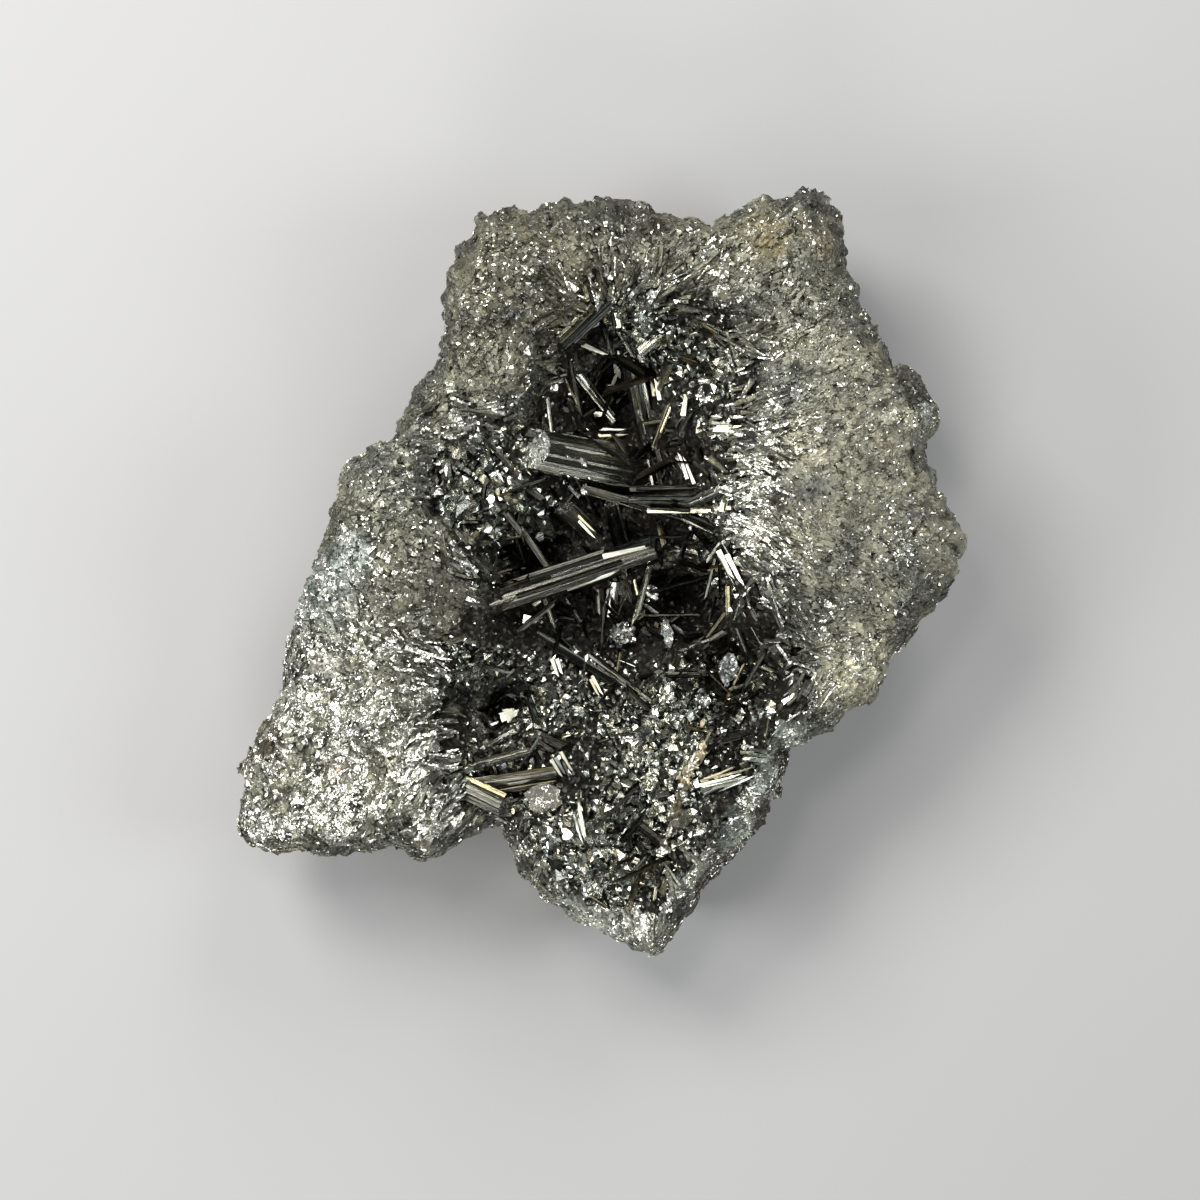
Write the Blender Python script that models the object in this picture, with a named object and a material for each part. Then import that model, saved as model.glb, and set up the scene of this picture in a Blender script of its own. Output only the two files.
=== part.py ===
"""Manganite: a broken slab of massive manganite, lying on its back, with a hollow full of prismatic crystals.

Sizes are in millimetres, with X to the right, Y away and Z up. The origin is under the middle of the
slab's outline, on the surface that it lies on. The scene itself is in metres.
"""

import math
import random

import bmesh
import bpy
from mathutils import Matrix, Vector, noise

MM = 0.001

# Driving sizes
PLATEAU = 22.5  # height of the broken top face before its swells and hollows
SLAB_CELLS = 34  # grid cells along each side of the slab's top
TOP_SMOOTHING = 0.5
RIM_DROP = 2.2  # how far the top face rounds down to its edge
RIM_SHARE = 0.93  # the share of the way out where that begins
GAP = 0.3  # clearance between pieces that touch
LINING = 0.9  # thickness of the crust between its crystals
LINING_EDGE = 0.3  # and at its edge
THINS_FROM = 0.8  # the share of the way out to the crust's outline where it begins to thin
LINING_REACH = 1.15  # and how far the lining goes before the outline trims it
LINING_DEPTH = 2.4  # how far the untrimmed lining reaches down into the slab
ROOT_DEPTH = 1.6  # how far a prism's root reaches under the lining
TIP_RISE = 1.4  # the least that its tip stands above the lining
WIDE = 2.0  # prisms wider than this have eight sides, and the rest have six
DRUSE_COUNT = 26
DRUSE_SIZES = (0.9, 1.9)
DRUSE_SEED = 7
GRAIN_SEED = 11

# The slab's outline from above, anticlockwise from its right-hand point
OUTLINE = [
    (40.6, 3.2), (39.3, 5.7), (37.8, 7.7), (36.7, 10.0), (35.6, 12.1), (35.3, 14.2), (36.5, 15.4),
    (36.5, 17.2), (35.5, 19.6), (34.9, 21.6), (33.6, 22.2), (32.4, 22.2), (31.4, 23.6), (30.7, 25.3),
    (29.5, 27.9), (28.5, 30.5), (27.1, 32.3), (26.3, 35.6), (25.8, 40.1), (24.7, 42.1), (22.2, 42.7),
    (21.2, 42.0), (20.1, 40.9), (18.6, 40.9), (17.3, 40.1), (15.3, 39.7), (13.5, 38.4), (12.1, 37.8),
    (10.7, 38.4), (7.9, 38.8), (6.4, 40.0), (5.2, 40.7), (1.5, 40.7), (0.4, 41.4), (-1.1, 41.2),
    (-2.3, 40.6), (-5.0, 40.9), (-6.6, 39.8), (-8.8, 40.1), (-10.8, 39.2), (-12.5, 39.3), (-13.9, 38.3),
    (-14.2, 36.0), (-15.4, 33.4), (-16.7, 31.5), (-17.7, 29.8), (-16.6, 28.0), (-17.1, 25.7),
    (-18.0, 23.4), (-19.0, 20.8), (-20.1, 18.5), (-21.7, 17.5), (-22.6, 15.2), (-24.3, 13.4),
    (-25.8, 13.6), (-27.5, 11.7), (-28.7, 10.3), (-28.8, 8.7), (-30.0, 7.4), (-29.5, 5.4), (-30.4, 2.7),
    (-31.6, 0.8), (-32.8, -1.5), (-33.3, -3.5), (-34.2, -6.2), (-34.9, -9.9), (-35.1, -13.2),
    (-36.3, -14.7), (-37.0, -17.5), (-38.7, -19.2), (-39.9, -21.2), (-40.0, -23.3), (-39.6, -26.6),
    (-40.6, -29.2), (-39.7, -30.4), (-36.6, -31.0), (-33.1, -30.9), (-31.1, -31.2), (-28.9, -30.4),
    (-25.2, -30.7), (-22.2, -30.6), (-19.9, -32.0), (-18.5, -31.4), (-17.7, -30.2), (-15.6, -29.4),
    (-14.3, -28.3), (-12.3, -27.8), (-10.9, -27.9), (-10.1, -29.5), (-9.8, -31.7), (-8.6, -34.0),
    (-7.0, -35.8), (-4.8, -37.2), (-2.4, -38.6), (0.2, -40.0), (3.3, -41.2), (5.2, -42.6), (6.6, -42.3),
    (7.7, -40.6), (8.4, -38.9), (10.0, -37.4), (11.5, -34.9), (13.4, -32.4), (15.8, -30.4),
    (17.5, -28.8), (18.7, -26.6), (19.8, -24.1), (20.2, -22.2), (20.6, -19.9), (21.8, -19.1),
    (23.3, -18.7), (24.4, -17.7), (26.1, -16.2), (27.5, -15.0), (28.8, -14.4), (29.9, -13.3),
    (31.1, -11.0), (32.4, -8.7), (34.3, -6.3), (36.3, -3.4), (38.2, -1.2), (39.6, 0.1), (39.9, 1.7),
]

# The crust's outline, anticlockwise about the middle of the hollow
HOLLOW_MIDDLE = (1.5, 0.0)
CRUST_OUTLINE = [
    (16.0, 0.5), (15.6, 7.0), (15.8, 13.0), (16.8, 18.5), (16.4, 25.0), (12.0, 29.0), (6.5, 31.0),
    (1.5, 31.5), (-2.5, 28.5), (-4.6, 25.0), (-5.2, 20.5), (-8.0, 16.5), (-14.0, 15.5), (-18.0, 12.0),
    (-18.5, 8.0), (-16.5, 4.5), (-14.0, 0.5), (-13.6, -3.5), (-16.5, -7.0), (-20.0, -9.5),
    (-18.0, -14.5), (-18.5, -20.0), (-17.5, -24.0), (-12.0, -25.8), (-8.0, -29.5), (-5.0, -34.0),
    (0.0, -37.0), (6.0, -38.0), (10.0, -32.5), (13.5, -27.0), (17.0, -22.0), (19.0, -18.0),
    (22.5, -14.5), (22.0, -8.0), (17.5, -3.5),
]

# Hollows: middle x and y, half width, half height, turn in degrees, depth
HOLLOWS = [
    (1.2, 2.0, 15.0, 29.0, 0, 8.0),
    (9.8, -2.0, 6.2, 7.8, 0, 14.5),
    (-11.4, -14.5, 6.3, 6.2, 0, 13.5),
    (1.4, 20.6, 6.2, 8.4, 0, 12.5),
    (2.8, 9.6, 5.4, 4.6, 0, 13.5),
    (-7.6, 1.0, 5.8, 6.4, 0, 13.0),
    (13.6, -12.2, 9.4, 6.6, 20, 8.5),
    (-12.6, 8.8, 6.6, 6.2, 0, 4.5),
    (2.6, -29.5, 7.4, 11.5, 12, 5.5),
    (10.5, 24.4, 6.6, 5.6, 0, 5.0),
    (-9.0, -22.0, 9.0, 5.2, 15, 4.6),
    (11.5, -21.5, 8.0, 7.0, 0, 4.4),
]

# Swells and sags of the top face: x, y, radius, rise
SWELLS = [
    (26.5, 14.0, 15.0, 3.6),
    (37.0, 3.0, 6.0, -1.2),
    (22.0, 39.0, 5.0, 1.6),
    (-10.0, 31.0, 9.0, 2.0),
    (3.0, 37.5, 5.0, -1.6),
    (-24.0, -2.0, 9.0, 2.2),
    (-25.0, 8.0, 6.0, 1.4),
    (-33.0, -12.0, 9.0, -3.0),
    (-35.0, -27.0, 11.0, -4.6),
    (-21.0, -17.0, 9.0, 1.4),
    (14.5, -27.5, 4.5, 1.8),
    (3.0, -39.5, 9.0, -4.4),
    (30.0, -9.0, 7.0, -1.6),
]
LUMPS = ((8.0, 1.1), (3.2, 0.55))  # wavelength and height of the lumps all over the top face

# Rings of the broken sides: share of the rim's height, inset from the outline
RIM_INSET = 0.6
SIDE_RINGS = [(0.84, 0.0), (0.58, 1.5), (0.30, 3.8), (0.10, 5.6), (0.0, 7.2)]
# On one side the slab is wider at the back, and its side wall shows from above
WALL_INSET = 2.1
WALL_RINGS = [(0.84, 1.5), (0.58, 0.7), (0.30, 0.0), (0.10, 0.2), (0.0, 0.9)]
WALL_FROM, WALL_TO, WALL_FADE = math.radians(-80), math.radians(-42), math.radians(5)
SIDE_ROUGHNESS = 1.3
SIDE_WAVE = 5.0

# Prisms: tip x, y, z; root x, y; width, thickness; share of the width left at the tip
PRISMS = [
    # the thickest crystal, lying across the middle
    (-7.4, 13.3, 20.6, 5.4, 11.0, 4.3, 3.7, 0.96),
    # the long blades from the left wall, side by side
    (5.9, 2.3, 20.4, -12.8, -3.9, 2.7, 1.5, 0.86),
    (0.4, 1.7, 19.6, -11.2, -2.2, 1.5, 1.2, 0.8),
    (5.6, 3.2, 21.4, -3.4, 0.4, 1.2, 1.0, 0.9),
    (2.4, 0.2, 19.8, -6.4, -3.0, 1.3, 1.0, 0.9),
    # steep crystals behind the blades
    (-4.0, 6.9, 18.8, 0.2, 2.8, 2.1, 1.8, 1.0),
    (1.2, 7.6, 18.6, 2.8, 1.6, 2.2, 1.7, 0.9),
    (2.4, 1.0, 17.6, 3.9, -5.0, 1.9, 1.5, 0.9),
    (-9.4, 4.4, 17.6, -7.4, -1.4, 1.2, 1.0, 0.8),
    # blades that cross from the right wall
    (-2.0, 9.0, 19.2, 12.6, 4.8, 1.3, 0.9, 0.7),
    (3.0, 7.8, 19.6, 12.8, 7.8, 2.9, 2.0, 0.25),
    (-5.9, 5.6, 18.4, 1.6, 7.8, 1.1, 0.9, 0.8),
    (9.6, 7.4, 19.4, 15.4, 9.8, 1.7, 1.2, 0.7),
    (9.4, 6.1, 19.6, 13.6, 4.2, 1.7, 1.4, 0.8),
    # the upper end of the hollow
    (3.4, 23.0, 17.4, 5.6, 13.4, 2.3, 1.9, 0.9),
    (5.8, 13.4, 16.2, 10.0, 23.6, 1.2, 0.9, 0.4),
    (1.5, 16.6, 15.6, -3.2, 22.6, 1.1, 0.9, 0.6),
    (-2.7, 18.0, 17.0, -4.6, 22.2, 1.0, 0.8, 0.5),
    (1.4, 23.9, 17.6, -2.8, 25.4, 0.9, 0.8, 0.8),
    (4.4, 23.8, 18.0, 9.0, 27.6, 1.4, 1.0, 0.5),
    (-4.2, 24.6, 19.4, 1.6, 30.4, 1.9, 1.4, 0.7),
    (2.1, 26.8, 17.6, 1.4, 31.2, 1.7, 1.3, 0.7),
    (9.0, 16.4, 17.8, 10.2, 21.4, 0.9, 0.8, 0.8),
    (8.5, 12.6, 18.4, 10.4, 9.0, 1.1, 0.9, 0.8),
    (11.8, 14.9, 20.8, 16.2, 15.6, 1.3, 1.0, 0.8),
    (6.8, 28.2, 20.6, 9.6, 29.2, 1.0, 0.8, 0.5),
    # the right wall
    (13.0, 2.6, 21.4, 15.8, -2.4, 1.4, 1.1, 0.8),
    (14.0, -1.6, 19.8, 14.4, -9.4, 0.9, 0.8, 0.7),
    # below the long blades
    (-6.3, -2.8, 19.0, -4.4, -8.2, 1.1, 0.9, 0.9),
    (-4.2, -3.4, 17.8, -0.8, -8.4, 1.3, 1.0, 0.8),
    (-6.4, -5.1, 18.8, -9.6, -5.9, 1.3, 1.0, 0.9),
    (1.4, -12.4, 18.6, -10.4, -5.2, 1.3, 1.0, 0.6),
    (5.6, -14.4, 19.2, -2.6, -8.4, 1.0, 0.8, 0.5),
    (-0.3, -2.0, 17.4, 0.0, -8.6, 1.5, 1.2, 0.7),
    (1.5, -1.1, 17.2, 0.8, -6.4, 2.5, 1.8, 0.8),
    # crystals that stand on end
    (2.3, -7.0, 18.0, 2.5, -7.8, 3.0, 2.8, 0.85),
    (5.6, -2.4, 15.4, 5.3, -3.0, 2.0, 1.9, 0.85),
    (7.3, -7.0, 18.8, 7.0, -8.0, 1.5, 3.3, 0.85),
    (14.0, -10.8, 19.8, 13.6, -11.8, 2.5, 3.7, 0.85),
    (11.5, -14.5, 18.4, 11.4, -15.0, 1.9, 1.7, 0.7),
    # the lower left corner, fanning to the notch
    (-7.6, -19.9, 20.6, -17.0, -22.4, 1.2, 0.9, 0.6),
    (-5.0, -22.4, 19.8, -16.0, -24.2, 2.1, 1.3, 0.8),
    (-10.4, -25.8, 20.6, -15.6, -23.4, 2.4, 1.9, 0.95),
    (-2.2, -17.6, 19.8, -9.8, -20.0, 1.0, 0.8, 0.5),
    (-7.9, -14.2, 19.4, -6.2, -18.8, 0.9, 0.8, 0.6),
    # the lower end of the hollow
    (-3.2, -25.0, 20.8, -1.2, -31.4, 1.2, 0.9, 0.6),
    (11.0, -24.2, 20.0, 16.8, -21.6, 1.6, 1.0, 0.8),
    (4.3, -28.2, 19.4, 9.6, -32.6, 1.3, 1.0, 0.6),
    (12.4, -18.4, 20.0, 9.6, -23.6, 1.3, 1.0, 0.7),
    (16.4, -17.6, 20.0, 10.6, -19.4, 1.2, 0.9, 0.5),
]

# The pale calcite grain caught on the lower rim of the hollow
GRAIN_PLACE = (-6.2, -25.0)
GRAIN_HALF_SIZE = (2.1, 1.7, 1.5)
GRAIN_JITTER = 0.22

SLAB_COLOUR = (0.20, 0.195, 0.18, 1.0)
CRYSTAL_COLOUR = (0.045, 0.045, 0.048, 1.0)
GRAIN_COLOUR = (0.72, 0.70, 0.62, 1.0)


def smooth_step(share):
    share = min(max(share, 0.0), 1.0)
    return share * share * (3 - 2 * share)


def radius_at(outline, middle, angle):
    """How far the outline is from its middle, along this angle."""
    ahead = Vector((math.cos(angle), math.sin(angle)))
    reach = 0.0
    for start, end in zip(outline, outline[1:] + outline[:1]):
        begin = Vector(start) - Vector(middle)
        along = Vector(end) - Vector(start)
        across = ahead.cross(along)
        if abs(across) < 1e-9:
            continue
        distance = begin.cross(along) / across
        share = begin.cross(ahead) / across
        if distance > 0 and -1e-9 <= share <= 1 + 1e-9:
            reach = max(reach, distance)
    return reach


def disc_place(u, v):
    """A square grid's place as the share of the way out and the angle, so that its cells stay even."""
    if abs(u) < 1e-9 and abs(v) < 1e-9:
        return 0.0, 0.0
    if abs(u) >= abs(v):
        return abs(u), math.pi / 4 * v / u + (0 if u > 0 else math.pi)
    return abs(v), math.pi / 2 - math.pi / 4 * u / v + (0 if v > 0 else math.pi)


def hollow_depth(x, y):
    """The hollows run into each other, so the deepest counts most."""
    total = 0.0
    for middle_x, middle_y, half_x, half_y, turn, depth in HOLLOWS:
        place = Matrix.Rotation(-math.radians(turn), 2) @ Vector((x - middle_x, y - middle_y))
        out = (place.x / half_x) ** 2 + (place.y / half_y) ** 2
        if out < 1:
            total += (depth * (1 - out**1.5) ** 1.4) ** 4
    return total**0.25


def lumps(x, y):
    height = 0.0
    for wave, rise in LUMPS:
        height += rise * noise.fractal(Vector((x / wave, y / wave, wave)), 1.0, 2.0, 3)
    return height


def top_height(x, y):
    """Height of the slab's top face, away from its rim."""
    height = PLATEAU + lumps(x, y) - hollow_depth(x, y)
    for middle_x, middle_y, radius, rise in SWELLS:
        away = ((x - middle_x) ** 2 + (y - middle_y) ** 2) / radius**2
        height += rise * math.exp(-away)
    return height


def wall_share(angle):
    """1 where the side wall shows from above, 0 where the slab is undercut."""
    angle = math.atan2(math.sin(angle), math.cos(angle))
    return min(
        smooth_step((angle - WALL_FROM) / WALL_FADE + 0.5),
        smooth_step((WALL_TO - angle) / WALL_FADE + 0.5),
    )


def mixed(plain, wall, angle):
    share = wall_share(angle)
    return plain * (1 - share) + wall * share


def rim_point(angle):
    """The slab's upper edge at this angle."""
    radius = radius_at(OUTLINE, (0, 0), angle) - mixed(RIM_INSET, WALL_INSET, angle)
    x, y = radius * math.cos(angle), radius * math.sin(angle)
    return Vector((x, y, top_height(x, y) - RIM_DROP))


def top_point(share, angle):
    rim = rim_point(angle)
    x, y = rim.x * share, rim.y * share
    drop = RIM_DROP * smooth_step((share - RIM_SHARE) / (1 - RIM_SHARE))
    return Vector((x, y, top_height(x, y) - drop))


def side_point(angle, ring):
    """A point of one of the rings that run down the slab's broken side."""
    height = mixed(SIDE_RINGS[ring][0], WALL_RINGS[ring][0], angle)
    inset = mixed(SIDE_RINGS[ring][1], WALL_RINGS[ring][1], angle)
    radius = radius_at(OUTLINE, (0, 0), angle)
    x, y = radius * math.cos(angle), radius * math.sin(angle)
    broken = noise.noise(Vector((x, y, 40 * height)) / SIDE_WAVE)
    inset += SIDE_ROUGHNESS * broken * min(inset, 2.0) / 2
    share = (radius - max(inset, 0.0)) / radius
    return Vector((x * share, y * share, rim_point(angle).z * height))


def top_sheet():
    """The slab's top face as a sheet of triangles, and the angle of each of its points."""
    bm = bmesh.new()
    bmesh.ops.create_grid(bm, x_segments=SLAB_CELLS, y_segments=SLAB_CELLS, size=1.0)
    angles = {}
    for vert in bm.verts:
        share, angle = disc_place(vert.co.x, vert.co.y)
        angles[vert] = angle
        vert.co = top_point(share, angle)
    inner = [vert for vert in bm.verts if not vert.is_boundary]
    bmesh.ops.smooth_vert(bm, verts=inner, factor=TOP_SMOOTHING, use_axis_z=True)
    bmesh.ops.triangulate(bm, faces=bm.faces, quad_method="BEAUTY")
    return bm, angles


def slab_mesh():
    bm, angles = top_sheet()
    edge_loop = [edge for edge in bm.edges if edge.is_boundary]
    for ring in range(len(SIDE_RINGS)):
        above = {vert for edge in edge_loop for vert in edge.verts}
        made = bmesh.ops.extrude_edge_only(bm, edges=edge_loop)["geom"]
        edge_loop = [item for item in made if isinstance(item, bmesh.types.BMEdge) and item.is_boundary]
        for vert in {item for item in made if isinstance(item, bmesh.types.BMVert)}:
            upper = next(edge.other_vert(vert) for edge in vert.link_edges if edge.other_vert(vert) in above)
            angles[vert] = angles[upper]
            vert.co = side_point(angles[vert], ring)
    bmesh.ops.edgeloop_fill(bm, edges=edge_loop)
    return finished(bm, "slab")


def finished(bm, name):
    """Faces outwards, in metres, as a mesh."""
    bmesh.ops.recalc_face_normals(bm, faces=bm.faces)
    bmesh.ops.scale(bm, vec=(MM, MM, MM), verts=bm.verts)
    mesh = bpy.data.meshes.new(name)
    bm.to_mesh(mesh)
    bm.free()
    return mesh


def out_share(x, y):
    """How far out from the middle of the hollow this is: 1 on the crust's outline."""
    away = Vector((x, y)) - Vector(HOLLOW_MIDDLE)
    return away.length / radius_at(CRUST_OUTLINE, HOLLOW_MIDDLE, math.atan2(away.y, away.x))


def lining_thickness(x, y):
    bumps = noise.noise(Vector((x, y, 3.0)) / 1.7)
    thick = LINING * (1 + 0.45 * bumps)
    return thick + (LINING_EDGE - thick) * smooth_step((out_share(x, y) - THINS_FROM) / (1 - THINS_FROM))


def lining_mesh():
    """A thick skin over the hollow and a little beyond, as even as the slab, which then trims its underside."""
    bm, _ = top_sheet()
    outside = [face for face in bm.faces if out_share(*face.calc_center_median().xy) > LINING_REACH]
    bmesh.ops.delete(bm, geom=outside, context="FACES")
    for vert in bm.verts:
        vert.co.z += GAP + lining_thickness(*vert.co.xy)
    made = bmesh.ops.extrude_face_region(bm, geom=list(bm.faces))["geom"]
    lower = [item for item in made if isinstance(item, bmesh.types.BMVert)]
    bmesh.ops.translate(bm, vec=(0, 0, -LINING_DEPTH), verts=lower)
    return finished(bm, "crystal_crust")


def crust_outline_mesh():
    """An upright block with the crust's outline."""
    bm = bmesh.new()
    bmesh.ops.create_circle(bm, cap_ends=True, segments=len(CRUST_OUTLINE), radius=1)
    for vert, (x, y) in zip(bm.verts, CRUST_OUTLINE):
        vert.co = (x, y, 0)
    made = bmesh.ops.extrude_face_region(bm, geom=list(bm.faces))["geom"]
    upper = [item for item in made if isinstance(item, bmesh.types.BMVert)]
    bmesh.ops.translate(bm, vec=(0, 0, 2 * PLATEAU), verts=upper)
    return finished(bm, "crust_outline")


def prism_mesh(tip, root, width, thickness, tip_share, sides):
    """A straight crystal from root to tip, width across its axis and level, thickness the other way."""
    axis = tip - root
    across = axis.cross(Vector((0, 0, 1)))
    if across.length < 0.35 * axis.length:  # a crystal on end keeps its width along X
        across = Vector((1, 0, 0)) - axis * (axis.x / axis.length_squared)
    across.normalize()
    along = axis.normalized()
    turn = Matrix((across, along.cross(across), along)).transposed().to_4x4()
    place = Matrix.Translation((root + tip) / 2) @ turn @ Matrix.Diagonal((width, thickness, axis.length, 1))
    bm = bmesh.new()
    bmesh.ops.create_cone(
        bm, cap_ends=True, segments=sides, radius1=0.54, radius2=0.54 * tip_share, depth=1, matrix=place
    )
    return finished(bm, "prism")


def root_point(x, y):
    return Vector((x, y, top_height(x, y) + GAP + LINING - ROOT_DEPTH))


def prism_meshes():
    """The measured crystals, then the small ones that stud the lining between them."""
    for tip_x, tip_y, tip_z, root_x, root_y, width, thickness, tip_share in PRISMS:
        root = root_point(root_x, root_y)
        tip = Vector((tip_x, tip_y, max(tip_z, top_height(tip_x, tip_y) + GAP + LINING + TIP_RISE)))
        yield prism_mesh(tip, root, width, thickness, tip_share, sides=8 if width > WIDE else 6)
    dice = random.Random(DRUSE_SEED)
    for _ in range(DRUSE_COUNT):
        angle = dice.uniform(0, math.tau)
        radius = math.sqrt(dice.uniform(0.02, 0.72)) * radius_at(CRUST_OUTLINE, HOLLOW_MIDDLE, angle)
        root = root_point(HOLLOW_MIDDLE[0] + radius * math.cos(angle), HOLLOW_MIDDLE[1] + radius * math.sin(angle))
        lean = Vector((dice.uniform(-1, 1), dice.uniform(-1, 1), dice.uniform(0.8, 1.6)))
        size = dice.uniform(*DRUSE_SIZES)
        tip = root + lean.normalized() * (ROOT_DEPTH + size)
        yield prism_mesh(tip, root, size, 0.7 * size, 0.6, sides=5)


def grain_mesh():
    """A broken cleavage lump: a ball of few faces with each corner moved."""
    middle = Vector((*GRAIN_PLACE, top_height(*GRAIN_PLACE) + LINING + GRAIN_HALF_SIZE[2]))
    dice = random.Random(GRAIN_SEED)
    bm = bmesh.new()
    bmesh.ops.create_icosphere(bm, subdivisions=2, radius=1.0)
    for vert in bm.verts:
        vert.co *= 1 + dice.uniform(-GRAIN_JITTER, GRAIN_JITTER)
    bmesh.ops.scale(bm, vec=GRAIN_HALF_SIZE, verts=bm.verts)
    bmesh.ops.translate(bm, vec=middle, verts=bm.verts)
    return finished(bm, "calcite_grain")


def material(name, colour, roughness, metallic):
    made = bpy.data.materials.new(name)
    made.use_nodes = True
    shader = made.node_tree.nodes["Principled BSDF"]
    shader.inputs["Base Color"].default_value = colour
    shader.inputs["Roughness"].default_value = roughness
    shader.inputs["Metallic"].default_value = metallic
    made.diffuse_color = colour
    return made


def collection(name):
    made = bpy.data.collections.new(name)
    bpy.context.scene.collection.children.link(made)
    return made


def add_object(name, mesh, group, finish=None):
    made = bpy.data.objects.new(name, mesh)
    group.objects.link(made)
    if finish:
        mesh.materials.append(finish)
    return made


def add_cutter(name, mesh, group):
    made = add_object(name, mesh, group)
    made.hide_render = True
    made.display_type = "WIRE"
    return made


def boolean(target, operation, cutter=None, group=None):
    modifier = target.modifiers.new((cutter or group).name, "BOOLEAN")
    modifier.operation = operation
    modifier.solver = "EXACT"
    if group:
        modifier.operand_type = "COLLECTION"
        modifier.collection = group
    else:
        modifier.object = cutter


def main():
    for obj in list(bpy.data.objects):
        bpy.data.objects.remove(obj)
    part = collection("manganite_specimen")
    cutters = collection("cutters")
    cutters.hide_render = True
    prisms = collection("prisms")
    prisms.hide_render = True

    slab = add_object("slab", slab_mesh(), part, material("massive_manganite", SLAB_COLOUR, 0.45, 0.6))
    raised = add_cutter("slab_raised_by_the_gap", slab.data.copy(), cutters)
    raised.location.z = GAP * MM

    crust = add_object(
        "crystal_crust", lining_mesh(), part, material("manganite_crystal", CRYSTAL_COLOUR, 0.15, 0.9)
    )
    for number, mesh in enumerate(prism_meshes()):
        add_cutter(f"prism_{number:03d}", mesh, prisms)
    outline = add_cutter("crust_outline", crust_outline_mesh(), cutters)
    boolean(crust, "INTERSECT", cutter=outline)
    boolean(crust, "UNION", group=prisms)
    boolean(crust, "DIFFERENCE", cutter=raised)

    grain = add_object("calcite_grain", grain_mesh(), part, material("calcite", GRAIN_COLOUR, 0.2, 0.0))
    raised_crust = crust.copy()
    raised_crust.name = "crust_raised_by_the_gap"
    raised_crust.location.z = GAP * MM
    raised_crust.hide_render = True
    raised_crust.display_type = "WIRE"
    cutters.objects.link(raised_crust)
    boolean(grain, "DIFFERENCE", cutter=raised)
    boolean(grain, "DIFFERENCE", cutter=raised_crust)


main()
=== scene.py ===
import math

import bmesh
import bpy
import numpy as np
from mathutils import Matrix, Vector, noise
from mathutils.bvhtree import BVHTree
from mathutils.kdtree import KDTree


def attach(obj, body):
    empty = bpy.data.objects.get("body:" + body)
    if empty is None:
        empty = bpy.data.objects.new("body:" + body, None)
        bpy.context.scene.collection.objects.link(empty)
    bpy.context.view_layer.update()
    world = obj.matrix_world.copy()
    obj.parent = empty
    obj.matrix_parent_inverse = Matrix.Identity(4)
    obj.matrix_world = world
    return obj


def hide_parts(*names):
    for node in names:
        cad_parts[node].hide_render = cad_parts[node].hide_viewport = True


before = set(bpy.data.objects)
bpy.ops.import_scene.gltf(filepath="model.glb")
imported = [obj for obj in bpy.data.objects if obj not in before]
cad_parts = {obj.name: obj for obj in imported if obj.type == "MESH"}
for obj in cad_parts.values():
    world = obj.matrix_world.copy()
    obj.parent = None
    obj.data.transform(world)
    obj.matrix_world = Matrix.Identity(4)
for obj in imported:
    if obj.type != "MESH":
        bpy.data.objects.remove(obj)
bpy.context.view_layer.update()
mm = 0.001
up = Vector((0, 0, 1))
floorGap = 0.03  # no grain comes nearer to the floor than this, in mm
skyHeight = 60  # rays that look down start here, in mm
squareSize = 0.5  # side of the squares that record where the crust lies, in mm
tiny = 1e-12  # stands in for the length of a vector that has none
noise.seed_set(4)  # its vectors differ from run to run without a seed


def mergedCopy(nodeName):
    # a CAD node's loose triangles, joined
    bm = bmesh.new()
    bm.from_mesh(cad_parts[nodeName].data)
    bmesh.ops.remove_doubles(bm, verts=bm.verts, dist=2e-6)
    bmesh.ops.recalc_face_normals(bm, faces=bm.faces)
    for face in bm.faces:
        face.material_index = 0
    return bm


def addPiece(name, mesh, finishes, nodes=()):
    piece = bpy.data.objects.new(name, mesh)
    bpy.context.scene.collection.objects.link(piece)
    for finish in finishes:
        mesh.materials.append(finish)
    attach(piece, "root")
    if nodes:
        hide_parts(*nodes)
    mesh.calc_loop_triangles()
    print(name, len(mesh.loop_triangles), "triangles")


def meshFrom(bm, name):
    mesh = bpy.data.meshes.new(name)
    bm.to_mesh(mesh)
    bm.free()
    return mesh


def setValues(mesh, name, values):
    # a value, or a direction, at each vertex for the materials to read
    kind = "FLOAT" if values.ndim == 1 else "FLOAT_VECTOR"
    layer = mesh.attributes.new(name, kind, "POINT")
    layer.data.foreach_set("value" if values.ndim == 1 else "vector", values.astype(np.float32).ravel())


def templateFrom(bm):
    # vertices and faces of a small shape that is repeated many times
    bmesh.ops.recalc_face_normals(bm, faces=bm.faces)
    bm.verts.index_update()
    corners = np.array([vert.co for vert in bm.verts])
    faces = [[vert.index for vert in face.verts] for face in bm.faces]
    bm.free()
    return corners, faces


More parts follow.
